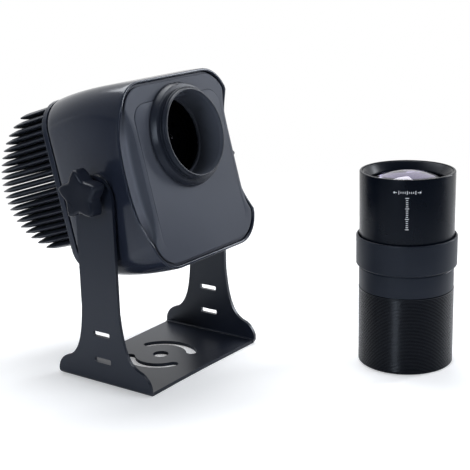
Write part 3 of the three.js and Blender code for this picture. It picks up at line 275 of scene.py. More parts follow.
def paint_light_on_coves(made, color):
    """Paints light on the scoops' floor in this material: a lighter colour, fading out towards their ends.
    """
    tree = made.node_tree
    coords = object_coords(tree)
    c, s = math.cos(TILT), math.sin(TILT)
    up, ahead = Vector((0, s, c)), Vector((0, -c, s))
    centre = up.dot(HINGE) + SCOOP_CENTRE * MM
    beside = maths(tree, "ABSOLUTE", maths(tree, "SUBTRACT", dot(tree, coords, (1, 0, 0)), HINGE.x))
    height = maths(tree, "ABSOLUTE", maths(tree, "SUBTRACT", dot(tree, coords, up), centre))
    depth = maths(tree, "SUBTRACT", dot(tree, coords, ahead), ahead.dot(HINGE))
    factor = ranged(tree, beside, COVE_START_BESIDE)
    for value, span in ((height, COVE_FADE_HEIGHT), (depth, COVE_FADE_AHEAD)):
        factor = maths(tree, "MULTIPLY", factor, ranged(tree, value, span, (1, 0)))
    base = tree.nodes["Principled BSDF"].inputs["Base Color"]
    tree.links.new(mixed(tree, factor, base.links[0].from_socket, color), base)


# The finishes of the part's slots, and of the bore with painted light, the tube's thread and bands, the
# painted shade for what lies deep in the socket, and the marks
FINISHES = {
    "coated_steel": dict(color=(0.007, 0.0095, 0.0175), roughness=0.33, specular=0.46, spread=0.01,
                         vary=0.05, grain=1600),
    # The housing and the cover wear one charcoal paint; the housing's darker tone is painted shade on its
    # sides
    "housing": dict(color=(0.013, 0.0165, 0.028), roughness=0.17, specular=0.42, spread=0.015,
                    vary=0.05, grain=1800, bump=0.1),
    # The cover's lighter tone is painted light on the head's front, which wears the housing's paint
    "cover": dict(color=(0.051, 0.057, 0.074), roughness=0.48, specular=0.18, spread=0.03,
                  vary=0.04, grain=2200, bump=0.2),
    "socket": dict(color=(0.012, 0.0145, 0.022), roughness=0.3, specular=0.2, vary=0.05, lines=0.08),
    # Painted light: a lighter copy of the socket's dark finish, for the bore's walls
    "bore_painted_light": dict(color=(0.055, 0.062, 0.08), roughness=0.45, specular=0.2, vary=0.05, lines=0.08),
    "anodised": dict(color=(0.0012, 0.0026, 0.006), roughness=0.28, specular=0.17, vary=0.08, lines=0.1),
    "ribbed": dict(color=(0.0006, 0.0014, 0.0032), roughness=0.24, specular=0.2, spread=0.02, vary=0.08),
    "band": dict(color=(0.0105, 0.0135, 0.021), roughness=0.42, specular=0.2, vary=0.06, lines=0.06),
    "cast_black": dict(color=(0.024, 0.028, 0.038), roughness=0.4, specular=0.24, vary=0.12),
    "knob": dict(color=(0.0075, 0.0095, 0.016), roughness=0.3, specular=0.22, vary=0.08,
                 grain=2600, bump=0.08),
    "steel": dict(color=(0.33, 0.34, 0.36), roughness=0.28, metallic=1, lines=0.1),
    "rubber": dict(color=(0.004, 0.004, 0.004), roughness=0.8, specular=0.3),
    "board": dict(color=(0.66, 0.67, 0.64), roughness=0.45, vary=0.06),
    "emitter": dict(color=(0.75, 0.58, 0.18), roughness=0.5, vary=0.1),
    "mirror": dict(color=(0.75, 0.76, 0.78), roughness=0.1, metallic=1, spread=0.03, vary=0.04),
    "brass": dict(color=(0.45, 0.3, 0.08), roughness=0.3, metallic=1, lines=0.1),
    # Painted shade: near black for what lies deep in the socket
    "painted_shade_black": dict(color=(0.0006, 0.0006, 0.001), roughness=0.8, specular=0.0),
    "mark": dict(color=(0.72, 0.74, 0.78), roughness=0.55, vary=0.05),
}
GLASSES = {
    "glass": dict(color=(0.24, 0.22, 0.33), tint=(0.5, 0.4, 0.7), share=0.01),
    # Painted shade: darker glass for the lens deep in the socket
    "dark_glass": dict(color=(0.5, 0.5, 0.56), tint=(0.2, 0.16, 0.3), share=0.02),
}
MATERIALS = {name: finish(name, **values) for name, values in FINISHES.items()}
for name, values in GLASSES.items():
    MATERIALS[name] = coated_glass(name, **values)
# The scoops' floor gets painted light, a lighter tone of the cover's paint
paint_light_on_coves(MATERIALS["cover"], COVE_PAINTED_LIGHT)

# The solids get their slots' finishes, but what lies deep in the socket gets painted shade: near black, and
# darker glass for its lens
SLOTS = {part["node"]: part["material_slot"] for part in frame["record"]["subparts"]}
PAINTED_SHADE_INSIDE = {"gobo_disc": "painted_shade_black", "gobo_clip": "painted_shade_black", "optics_barrel": "painted_shade_black",
            "condenser_ring": "painted_shade_black", "condenser_lens": "dark_glass"}
for name, cad in frame["nodes"].items():
    cad.data.materials.clear()
    cad.data.materials.append(MATERIALS[PAINTED_SHADE_INSIDE.get(name, SLOTS[name])])

# Meshes. Points nearer to each other than the weld, in metres, become one, and the arc of a corner takes
# up at most its reach, a share of each side. Angles are in degrees but for the flat one
WELD, WELD_SOLID = 1e-7, 2e-6
FLAT_ANGLE, EDGE_ANGLE = math.radians(1.2), 28
BEVEL_SEGMENTS = 2
CORNER_STEPS, CORNER_REACH = 3, 0.45


def settled(obj, material, body, slot, nodes, sharp=32):
    """Gives a piece its finish, its shading and its place on a body, in place of the named nodes."""
    obj.data.materials.clear()
    for item in material if isinstance(material, list) else [material]:
        obj.data.materials.append(MATERIALS[item])
    obj.data.shade_smooth()
    obj.data.set_sharp_from_angle(angle=math.radians(sharp))
    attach(obj, body)
    if nodes:
        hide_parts(*nodes)
    return obj


def linked(name, mesh):
    obj = bpy.data.objects.new(name, mesh)
    bpy.context.scene.collection.objects.link(obj)
    return obj


def mesh_object(name, points, faces):
    mesh = bpy.data.meshes.new(name)
    mesh.from_pydata([tuple(p) for p in points], [], faces)
    made = bmesh.new()
    made.from_mesh(mesh)
    bmesh.ops.remove_doubles(made, verts=made.verts, dist=WELD)
    bmesh.ops.recalc_face_normals(made, faces=made.faces)
    made.to_mesh(mesh)
    made.free()
    return linked(name, mesh)


def loft(name, rings, closed=True):
    """Skin through rings of equal length, each joined to the next, and the last to the first if closed."""
    count = len(rings[0])
    points = [p for ring in rings for p in ring]
    faces = []
    for i in range(len(rings) if closed else len(rings) - 1):
        here, after = i * count, (i + 1) % len(rings) * count
        for j in range(count):
            k = (j + 1) % count
            faces.append((here + j, here + k, after + k, after + j))
    return mesh_object(name, points, faces)


def rounded(profile):
    """A closed profile of (radius, height, corner) with each corner turned on an arc of that radius."""
    made = []
    for i, (radius, height, turn) in enumerate(profile):
        here = Vector((radius, height))
        if turn <= 0:
            made.append((here.x, here.y))
            continue
        before = Vector(profile[i - 1][:2]) - here
        after = Vector(profile[(i + 1) % len(profile)][:2]) - here
        reach = min(turn, before.length * CORNER_REACH, after.length * CORNER_REACH)
        start, end = here + before.normalized() * reach, here + after.normalized() * reach
        for k in range(CORNER_STEPS + 1):
            t = k / CORNER_STEPS
            point = start * (1 - t) ** 2 + here * 2 * t * (1 - t) + end * t * t
            made.append((point.x, point.y))
    return made


def circle(radius, height, place, steps):
    angles = (math.tau * j / steps for j in range(steps))
    return [place(radius * math.cos(angle), radius * math.sin(angle), height) for angle in angles]


def lathe(name, profile, place, steps=128):
    return loft(name, [circle(radius, height, place, steps) for radius, height in rounded(profile)])


def dressed(node_name, width):
    """A copy of a solid with its flat faces whole and its edges broken by a real bevel of this width."""
    source = frame["nodes"][node_name]
    made = bmesh.new()
    made.from_mesh(source.data)
    bmesh.ops.remove_doubles(made, verts=made.verts, dist=WELD_SOLID)
    bmesh.ops.dissolve_limit(made, angle_limit=FLAT_ANGLE, verts=made.verts, edges=made.edges)
    mesh = bpy.data.meshes.new(node_name + "_dressed")
    made.to_mesh(mesh)
    made.free()
    obj = linked(node_name + "_dressed", mesh)
    slot = SLOTS[node_name]
    settled(obj, slot, source["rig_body"], slot, [node_name], sharp=EDGE_ANGLE)
    bevel = obj.modifiers.new("edges", "BEVEL")
    bevel.width = width * MM
    bevel.segments = BEVEL_SEGMENTS
    bevel.limit_method = "ANGLE"
    bevel.angle_limit = math.radians(EDGE_ANGLE)
    bevel.harden_normals = True
    return obj


# Sections of the head
def outline(half_width, top, bottom, radius):
    """Points (x, z) of a rounded rectangle, from the foot of its right side over the top and round."""
    points = []
    flat = half_width - radius

    def line(x0, z0, x1, z1, steps):
        points.extend((x0 + (x1 - x0) * i / steps, z0 + (z1 - z0) * i / steps) for i in range(steps))

    def corner(x, z, start):
        for i in range(SECTION_STEPS_CORNER):
            angle = start + math.pi / 2 * i / SECTION_STEPS_CORNER
            points.append((x + radius * math.cos(angle), z + radius * math.sin(angle)))

    line(half_width, bottom + radius, half_width, top - radius, SECTION_STEPS_SIDE)
    corner(flat, top - radius, 0)
    line(flat, top, -flat, top, SECTION_STEPS_FLAT)
    corner(-flat, top - radius, math.pi / 2)
    line(-half_width, top - radius, -half_width, bottom + radius, SECTION_STEPS_SIDE)
    corner(-flat, bottom + radius, math.pi)
    line(-flat, bottom, flat, bottom, SECTION_STEPS_FLAT)
    corner(flat, bottom + radius, math.pi * 1.5)
    return points


def section(share):
    """The section at this share of the way from the rear edge to the front lip."""
    made = []
    for rear, middle, front in zip(REAR_SECTION, MIDDLE_SECTION, FRONT_SECTION):
        bow = middle - (rear + front) / 2
        made.append(rear + (front - rear) * share + bow * 4 * share * (1 - share))
    return made


def inset(sizes, by):
    """The outline of a section, this far inside it."""
    half_width, top, bottom, radius = sizes
    return outline(half_width - by, top - by, bottom + by, max(SECTION_MIN_RADIUS, radius - by))


def scoop(z, power):
    """How deep the scoop is at this height, as a share of its full depth."""
    reach = abs(z - SCOOP_CENTRE) / SCOOP_HALF_HEIGHT
    return 1 - reach ** power if reach < 1 else 0.0


def skin(share, by, back=0.0):
    """A ring of the shell, this far inside its outer skin and this far back."""
    ahead = REAR_EDGE + (FRONT_LIP - REAR_EDGE) * share - back
    dip = SCOOP_DEPTH * share
    return [on_head(x, ahead - dip * scoop(z, SCOOP_DIP_POWER), z) for x, z in inset(section(share), by)]


# Housing shell: rounded at its rear edge and its front lip, by rings this far inside and this far back
SHELL_REAR = ((HEAD_WALL, 0.0), (1.0, 0.0), (0.3, -0.25), (0.0, -0.9))
SHELL_LIP = ((0.0, 0.75), (0.12, 0.3), (0.5, 0.03), (1.0, 0.0), (1.7, 0.02), (2.2, 0.25), (HEAD_WALL, 0.8))
SHELL_OUTSIDE, SHELL_INSIDE = np.linspace(0.03, 0.985, 26), np.linspace(0.96, 0.02, 12)


def housing():
    rings = [skin(0, by, back) for by, back in SHELL_REAR]
    rings += [skin(share, 0) for share in SHELL_OUTSIDE]
    rings += [skin(1, by, back) for by, back in SHELL_LIP]
    rings += [skin(share, HEAD_WALL) for share in SHELL_INSIDE]
    obj = loft("housing_skin", rings)
    return settled(obj, "housing", "head", "housing", ["housing_shell"], sharp=50)


# Front cover: a groove round its edge, scoops along its sides and a raised field round the socket. The
# groove's floor and its climb to the face are shares of the way from the edge to the face
COVER_START, COVER_EDGE = 0.9, 3.0
GROOVE_WIDTH, GROOVE_DEPTH, GROOVE_FLOOR, GROOVE_CLIMB = 1.8, 2.4, 0.25, 0.3
FACE_ROUND = 0.7
COVE_WALL_X, COVE_STEPS, COVE_POWER = 59.8, 12, 0.5
BEVEL_WIDTH, BEVEL_DEPTH = 3.4, 0.8
# Rings of the bevel: how far inside the groove and under the face they lie, and how far inside the cove's
# wall and under the face where the scoop is deepest
BEVEL_RINGS = (
    (0.12, 0.3, 0.3, BEVEL_DEPTH - 0.22), (0.4, 0.06, 0.9, BEVEL_DEPTH - 0.36),
    (0.8, 0.0, BEVEL_WIDTH - 0.9, 0.12), (1.3, 0.0, BEVEL_WIDTH + 0.3, 0.0),
)
FIELD = (55.8, 59.0, -62.0, 14.0)
FIELD_RISE, FIELD_SINK = 0.6, 0.8
# The engraved line round the field, which fades out downwards: inset, depth and share of the field's rise
FIELD_RINGS = ((-0.55, 0, 0), (-0.35, 0.32, 0), (-0.1, 0.32, 0), (0.1, 0, 0.75), (0.4, 0, 1))
ENGRAVED_BOTTOM, ENGRAVED_FADE = -58, 40
HOLE_DEPTH = 2.5


def cover():
    front = section(1)
    edge = HEAD_WALL + GAP
    face = edge + GROOVE_WIDTH
    side_x = front[0] - edge
    lip_ahead = FRONT_LIP - SCOOP_DEPTH
    bevel_foot = FRONT_FACE - BEVEL_DEPTH
    floor = FRONT_FACE - GROOVE_DEPTH
    fall = (FIELD_RISE + FIELD_SINK) / (FIELD[1] - FIELD[2])

    def blend(by, ahead, sunk_x, sunk_ahead):
        made = []
        for x, z in inset(front, by):
            narrow, dip = scoop(z, SCOOP_WAIST_POWER), scoop(z, SCOOP_DIP_POWER)
            wide = x + (math.copysign(sunk_x, x) - x) * narrow
            made.append(on_head(wide, ahead + (sunk_ahead - ahead) * dip, z))
        return made

    def field(by, depth, lift):
        made = []
        for x, z in inset(FIELD, by):
            rise = max(0.0, FIELD_RISE - (FIELD[1] - z) * fall)
            deep = depth * min(1.0, max(0.0, (z - ENGRAVED_BOTTOM) / ENGRAVED_FADE))
            made.append(on_head(x, FRONT_FACE + lift * rise - deep, z))
        return made

    rings = [skin(COVER_START, edge), skin(COVER_START, edge, -COVER_EDGE)]
    for i in range(COVE_STEPS + 1):
        share, turn = i / COVE_STEPS, math.pi / 2 * i / COVE_STEPS
        climb = max(0.0, (share - GROOVE_CLIMB) / (1 - GROOVE_CLIMB))
        wall, foot = math.sin(turn) ** COVE_POWER, max(0.0, math.cos(turn)) ** COVE_POWER
        rings.append(blend(edge + (face - edge) * min(1.0, share / GROOVE_FLOOR),
                           floor + (FRONT_FACE - FACE_ROUND - floor) * climb,
                           side_x - (side_x - COVE_WALL_X) * wall,
                           bevel_foot - (bevel_foot - lip_ahead) * foot))
    rings += [blend(face + by, FRONT_FACE - under, COVE_WALL_X - sunk_by, FRONT_FACE - sunk_under)
              for by, under, sunk_by, sunk_under in BEVEL_RINGS]
    rings += [field(*ring) for ring in FIELD_RINGS]
    hole = []
    for x, z in inset(FIELD, FIELD_RINGS[-1][0]):
        angle = math.atan2(z - LENS_HEIGHT, x)
        radius = SPIGOT_RADIUS + GAP
        hole.append((radius * math.cos(angle), LENS_HEIGHT + radius * math.sin(angle)))
    rings.append([on_head(x, FRONT_FACE + (FIELD_RISE - (FIELD[1] - z) * fall), z) for x, z in hole])
    rings.append([on_head(x, FRONT_FACE - HOLE_DEPTH, z) for x, z in hole])
    obj = loft("cover_skin", rings, closed=False)
    return settled(obj, "cover", "head", "cover", ["front_cover"], sharp=40)


# Heatsink: base and flange, and fins whose thin round edges lie on one dome. The base's rings are this
# far inside the rear section and this far back, and a fin's loops this far inside its edge and this thick
HEATSINK_BASE = ((3.3, 49.6), (3.3, 54.7), (1.5, 54.7), (1.2, 55.0), (1.2, 56.1), (1.5, 56.4))
FIN_COUNT, FIN_PITCH, FIN_MIDDLE, FIN_HALF_THICK = 21, 5.72, 16.0, 2.3
FIN_ROOT, FIN_END_RADIUS, FIN_HALF_WIDTH, FIN_CLEARANCE = 56.2, 57.0, 56.8, 1.2
FIN_STRAIGHT_STEPS, FIN_ARC_STEPS = 6, 40
FIN_FALL = 0.048
DOME_MIDDLE, DOME_HALF_HEIGHT, DOME_SIDE, DOME_DEPTH = 14.0, 66.0, 102.2, 80.0
FIN_LOOPS = ((13.0, 4.95), (9.0, 4.8), (5.5, 4.0), (2.8, 2.6), (0.45, 1.1), (0.12, 0.8), (0.0, 0.4))


def fin_half_width(height):
    """Half the fin's width at its root, where the rounded flange still carries it."""
    half_width, top, bottom, corner = REAR_SECTION
    outward = height + math.copysign(FIN_HALF_THICK, height - DOME_MIDDLE)
    into = max(0.0, outward - (top - corner), bottom + corner - outward)
    reach = math.sqrt((corner - FIN_CLEARANCE) ** 2 - into ** 2)
    return min(FIN_HALF_WIDTH, half_width - corner + reach)


def fin_loop(height, by, lift):
    """A fin's outline, this far inside its edge and above its middle, from its left root to its right."""
    off = (height - DOME_MIDDLE) / DOME_HALF_HEIGHT
    side = DOME_SIDE - DOME_DEPTH * (1 - math.sqrt(1 - off ** 2))
    half = fin_half_width(height)
    turn = math.acos(half / FIN_END_RADIUS)
    depths = [FIN_ROOT + (side - FIN_ROOT) * k / FIN_STRAIGHT_STEPS for k in range(FIN_STRAIGHT_STEPS)]
    path = [(-half + by, back) for back in depths]
    for k in range(FIN_ARC_STEPS + 1):
        angle = math.pi - turn - (math.pi - 2 * turn) * k / FIN_ARC_STEPS
        radius = FIN_END_RADIUS - by
        path.append((radius * math.cos(angle), side + radius * math.sin(angle)))
    path += [(half - by, back) for back in reversed(depths)]
    return [on_head(x, -back, height + lift - (back - FIN_ROOT) * FIN_FALL) for x, back in path]


def heatsink():
    points, faces = [], []

    def walls(loops, closed):
        """Adds the faces between loops of points, and gives the index of each loop's first point."""
        start, size = len(points), len(loops[0])
        points.extend(p for loop in loops for p in loop)
        firsts = [start + i * size for i in range(len(loops))]
        for first in firsts[:-1]:
            for j in range(size if closed else size - 1):
                a, b = first + j, first + (j + 1) % size
                faces.append((a, b, b + size, a + size))
        return firsts, size

    plates = [[on_head(x, -back, z) for x, z in inset(REAR_SECTION, by)] for by, back in HEATSINK_BASE]
    firsts, size = walls(plates, True)
    faces.extend(tuple(range(first, first + size)) for first in (firsts[0], firsts[-1]))
    for index in range(FIN_COUNT):
        height = FIN_MIDDLE + (index - FIN_COUNT // 2) * FIN_PITCH
        upper = [fin_loop(height, by, thick / 2) for by, thick in FIN_LOOPS]
        lower = [fin_loop(height, by, -thick / 2) for by, thick in reversed(FIN_LOOPS)]
        firsts, size = walls(upper + lower, False)
        # The flat top and bottom are strips across the fin, and the last face closes its root
        for first in (firsts[0], firsts[-1]):
            for j in range(size // 2 - 1):
                a, b = first + j, first + size - 1 - j
                faces.append((a, a + 1, b - 1, b))
            middle = first + size // 2
            faces.append((middle - 1, middle, middle + 1))
        faces.append(tuple(firsts + [first + size - 1 for first in reversed(firsts)]))
    obj = mesh_object("heatsink_cast", points, faces)
    return settled(obj, "cast_black", "head", "cast_black", ["heatsink"], sharp=25)


# Profiles of what is turned on a lathe: radius, height and the radius of the corner there
SOCKET_PROFILE = (
    (32.4, 31, 0), (38, 31, 0), (38, 45.8, 0), (43.4, 45.8, 0.2), (43.4, 46.8, 0.5),
    (41.3, 51.7, 0.55), (38, 51.7, 0.25), (38, 53.2, 0.15), (37.2, 53.2, 0.15), (37.2, 54.4, 0.15),
    (38, 54.4, 0.2), (38, 55.4, 0.4), (36.7, 56.1, 0.3), (36.4, 57.5, 0.35), (35.0, 57.5, 0.35),
    (34.7, 55.4, 0.3), (34.4, 54.5, 0.3), (34.4, 33, 0.2), (32.4, 33, 0.25),
)
BAND_PROFILE = (
    (38.3, 67.05, 0), (40.3, 67.05, 0.15), (40.3, 84.7, 0.15), (39.8, 85.3, 0.1), (39.8, 85.6, 0.1),
    (40.3, 86.0, 0.15), (40.3, 86.7, 0), (40.1, 86.7, 0), (40.1, 94, 0.2), (38.3, 94, 0.2),
)
COLLAR_PROFILE = (
    (40.6, 87, 0), (42.2, 87, 0.4), (42.8, 87.7, 0.4), (42.8, 112.2, 0.4), (42.3, 113, 0.35),
    (41.3, 113, 0.3), (40.6, 112.2, 0.3),
)
FOCUS_PROFILE = (
    (38.1, 98, 0.2), (40.1, 98, 0.2), (40.1, 167.3, 0.3), (39.6, 168, 0.3), (38.1, 168, 0.2),
    (38.1, 153, 0), (34.5, 153, 0.2), (34.5, 150, 0.2), (38.1, 147, 0), (38.1, 106, 0),
    (33.4, 106, 0.2), (33.4, 72, 0.2), (35.9, 72, 0.2), (35.9, 101, 0), (38.1, 101, 0),
)
RETAINER_PROFILE = (
    (33.8, 157.6, 0.1), (37.8, 157.6, 0.1), (37.8, 167.4, 0.2), (37.1, 167.4, 0.25),
    (31.9, 161.2, 0.3), (31.8, 160.2, 0.2), (32.6, 159.2, 0.3),
)
SOCKET_STEPS, BORE_RADIUS = 160, 34.9


# Lens socket: tapered drum, grooved spigot and bore
def socket():
    obj = lathe("socket_turned", SOCKET_PROFILE, on_lens_axis, SOCKET_STEPS)
    # The bore's faces get painted light, a lighter copy of the socket's finish
    settled(obj, ["socket", "bore_painted_light"], "head", "anodised", ["lens_socket"])
    for face in obj.data.polygons:
        x, _, z = off_head(face.center)
        if math.hypot(x, z - LENS_HEIGHT) < BORE_RADIUS:
            face.material_index = 1
    return obj


# Star knobs: rings this far from the head's middle, this far inside the lobes, and with this share of
# the lobes against a round hub. The crown's rings are round
KNOB_LOBES, KNOB_LEAN, KNOB_STEPS = 5, math.radians(7), 160
KNOB_TIP, KNOB_VALLEY, KNOB_HUB, KNOB_TIP_ROUND = 21.0, 14.2, 9.5, 0.0012
KNOB_STRAIGHT, KNOB_CURVED = 0.7, 0.3
KNOB_RINGS = (
    (76.6, 0, 0), (79.6, 0, 0), (80.0, 1.2, 0.4), (80.0, 2.2, 1), (80.3, 0.9, 1), (81.2, 0.15, 1),
    (82.6, 0, 1), (90.5, 0, 1), (92.2, 0.25, 1), (93.3, 0.95, 1), (93.9, 2.1, 1), (94.0, 3.4, 1),
)
KNOB_CROWN = ((93.85, 8.0), (93.8, 3.0), (93.8, 0.01))


def knob(side, sign):
    lobes = []
    for i in range(KNOB_STEPS):
        angle = math.tau * i / KNOB_STEPS
        off = math.sqrt(math.sin(KNOB_LOBES * angle / 2) ** 2 + KNOB_TIP_ROUND)
        fall = KNOB_STRAIGHT * off + KNOB_CURVED * off ** 2
        lobes.append((angle + KNOB_LEAN, KNOB_TIP - (KNOB_TIP - KNOB_VALLEY) * fall))

    def place(out, angle, reach):
        return HINGE + MM * Vector((sign * out, -sign * reach * math.sin(angle), reach * math.cos(angle)))

    rings = [[place(out, angle, (radius - by) * share + KNOB_HUB * (1 - share)) for angle, radius in lobes]
             for out, by, share in KNOB_RINGS]
    rings += [[place(out, angle, reach) for angle, _ in lobes] for out, reach in KNOB_CROWN]
    obj = loft(f"knob_{side}_moulded", rings, closed=False)
    return settled(obj, "knob", f"clamp_{side}", "knob", [f"knob_{side}"], sharp=45)


# Lens tube: threaded barrel, smooth band, collar, focus barrel and its conical front ring. The foot and the
# shoulder of the barrel are rings of (radius, height), and the thread has a few rings to each pitch
TUBE_BORE, TUBE_RADIUS = 38.3, 40.6
TUBE_FOOT = ((TUBE_BORE, 0.0), (39.6, 0.0), (40.3, 0.5))
TUBE_SHOULDER = ((TUBE_RADIUS, 66.6), (40.5, 66.9), (TUBE_BORE, 67.0))
THREAD_PITCH, THREAD_DEPTH, THREAD_STEPS, THREAD_RINGS = 1.25, 0.22, 180, 6
THREAD_START, THREAD_END, THREAD_FADE_IN, THREAD_FADE_OUT = 0.9, 66.4, 2.0, 1.0
# What is turned for the tube: its name, profile, finish and body, and the solid that it stands for
TURNED = (
    ("tube_band", BAND_PROFILE, "band", "stand", "tube_barrel"),
    ("collar_turned", COLLAR_PROFILE, "band", "stand", "tube_collar"),
    ("focus_turned", FOCUS_PROFILE, "anodised", "focus", "focus_barrel"),
    ("front_ring_turned", RETAINER_PROFILE, "anodised", "focus", "lens_retainer"),
)


def tube():
    def thread(height, share):
        fade = min(1.0, (height - THREAD_START) / THREAD_FADE_IN, (THREAD_END - height) / THREAD_FADE_OUT)
        phase = (height / THREAD_PITCH + share) % 1.0
        return TUBE_RADIUS - THREAD_DEPTH * fade * (0.5 + 0.5 * math.cos(math.tau * phase))

    rings = [circle(radius, height, on_tube, THREAD_STEPS) for radius, height in TUBE_FOOT]
    height = THREAD_START
    while height < THREAD_END:
        ring = []
        for j in range(THREAD_STEPS):
            radius, angle = thread(height, j / THREAD_STEPS), math.tau * j / THREAD_STEPS
            ring.append(on_tube(radius * math.cos(angle), radius * math.sin(angle), height))
        rings.append(ring)
        height += THREAD_PITCH / THREAD_RINGS
    rings += [circle(radius, height, on_tube, THREAD_STEPS) for radius, height in TUBE_SHOULDER]
    settled(loft("tube_thread", rings), "ribbed", "stand", "anodised", ["tube_barrel"], sharp=60)
    for name, profile, material, body, solid in TURNED:
        settled(lathe(name, profile, on_tube), material, body, "anodised", [solid])


# Front lens: biconvex, with a parabola for each face
LENS_RADIUS, LENS_RIM_RADIUS, LENS_CENTRE_RADIUS = 34.0, 37.8, 1e-4
LENS_REAR, LENS_RIM_REAR, LENS_RIM_FRONT = 150.3, 153.3, 157.3
LENS_BELLY, LENS_CROWN, LENS_RINGS, LENS_STEPS = 3.0, 9.8, 16, 128


def front_lens():
    shares = [i / LENS_RINGS for i in range(LENS_RINGS + 1)]
    profile = [(LENS_RADIUS * share, LENS_REAR + LENS_BELLY * share ** 2) for share in shares]
    profile += [(LENS_RIM_RADIUS, LENS_RIM_REAR), (LENS_RIM_RADIUS, LENS_RIM_FRONT)]
    profile += [(LENS_RADIUS * share, LENS_RIM_FRONT + LENS_CROWN * (1 - share ** 2))
                for share in reversed(shares)]
    rings = [circle(max(radius, LENS_CENTRE_RADIUS), height, on_tube, LENS_STEPS)
             for radius, height in profile]
    obj = loft("front_lens_ground", rings, closed=False)
    return settled(obj, "glass", "focus", "glass", ["front_lens"], sharp=40)


# Generic marks on the focus barrel: two arrows, a row of ticks between them and a column of ticks
MARKS_RADIUS, MARKS_TOP, MARKS_FLAT, LINE_HALF = 40.16, 157.6, 1.5, 0.25
ARROW_TAIL, ARROW_NECK, ARROW_BARB, ARROW_TIP, ARROW_HALF = 8.4, 10.4, 10.2, 11.6, 1.1
ROW_SIDE, ROW_PITCH, ROW_EVERY, ROW_HALF, ROW_TALL, ROW_LOW = 4, 1.7, 4, 0.24, 1.5, 0.8
COLUMN_COUNT, COLUMN_PITCH, COLUMN_EVERY, COLUMN_DROP = 16, 1.75, 5, 4.6
COLUMN_HALF, COLUMN_WIDE, COLUMN_NARROW = 0.26, 1.5, 0.9


def marks():
    facing = math.atan2(CAMERA_PLACE[1] - TUBE.y, CAMERA_PLACE[0] - TUBE.x)
    points, faces = [], []

    def patch(corners):
        start = len(points)
        for across, height in corners:
            angle = facing + across / MARKS_RADIUS
            points.append(on_tube(MARKS_RADIUS * math.cos(angle), MARKS_RADIUS * math.sin(angle), height))
        faces.append(tuple(range(start, len(points))))

    def bar(x0, x1, z0, z1):
        pieces = max(1, int(abs(x1 - x0) / MARKS_FLAT))
        for i in range(pieces):
            a, b = x0 + (x1 - x0) * i / pieces, x0 + (x1 - x0) * (i + 1) / pieces
            patch([(a, z0), (b, z0), (b, z1), (a, z1)])

    for sign in (-1, 1):
        bar(sign * ARROW_TAIL, sign * ARROW_NECK, MARKS_TOP - LINE_HALF, MARKS_TOP + LINE_HALF)
        patch([(sign * ARROW_BARB, MARKS_TOP - ARROW_HALF), (sign * ARROW_TIP, MARKS_TOP),
               (sign * ARROW_BARB, MARKS_TOP + ARROW_HALF)])
    for i in range(-ROW_SIDE, ROW_SIDE + 1):
        tall = ROW_TALL if i % ROW_EVERY == 0 else ROW_LOW
        bar(i * ROW_PITCH - ROW_HALF, i * ROW_PITCH + ROW_HALF, MARKS_TOP - tall, MARKS_TOP + tall)
    for i in range(COLUMN_COUNT):
        wide = COLUMN_WIDE if i % COLUMN_EVERY == 0 else COLUMN_NARROW
        height = MARKS_TOP - COLUMN_DROP - i * COLUMN_PITCH
        bar(-wide, wide, height - COLUMN_HALF, height + COLUMN_HALF)
    obj = mesh_object("focus_marks", points, faces)
    return settled(obj, "mark", "focus", "anodised", [])


housing()
cover()
socket()
knob("left", -1)
knob("right", 1)
tube()
front_lens()
marks()
dressed("yoke_bracket", 0.45)
heatsink()
dressed("rear_frame", 0.5)
for side in ("left", "right"):
    dressed(f"knob_washer_{side}", 0.2)
    dressed(f"hinge_boss_{side}", 0.3)
    dressed(f"rear_screw_{side}", 0.2)
dressed("cable_gland", 0.35)
dressed("cable_gland_nut", 0.35)


# Floor, backdrop, light and camera, in metres. The backdrop lies the way that its direction points. The
# floor turns into it over its reach, and spans along the direction say where it does for what is mirrored
BACKDROP = (0.8, 0.6, 0.0)
BACKDROP_REACH, BACKDROP_SPAN = (0.3, 0.75), (0.0, 0.5)
ROOM_SPAN, ROOM_SHARE = (-0.15, 0.15), 0.8
FLOOR_HALF, FLOOR_DROP, FLOOR_GLOW = 6.0, 0.0002, 0.27
FLOOR_COLOR, FLOOR_ROUGHNESS, FLOOR_SPECULAR = (0.86, 0.87, 0.89, 1), 0.9, 0.1
WORLD_SPAN, WORLD_LEVELS, WORLD_LIGHT = (-0.3, 0.6), (0.1, 1.0), 0.4
WHITE = (1, 1, 1, 1)


def seen_directly(tree, path):
    return maths(tree, "MAXIMUM", path["Is Camera Ray"], path["Is Transmission Ray"])


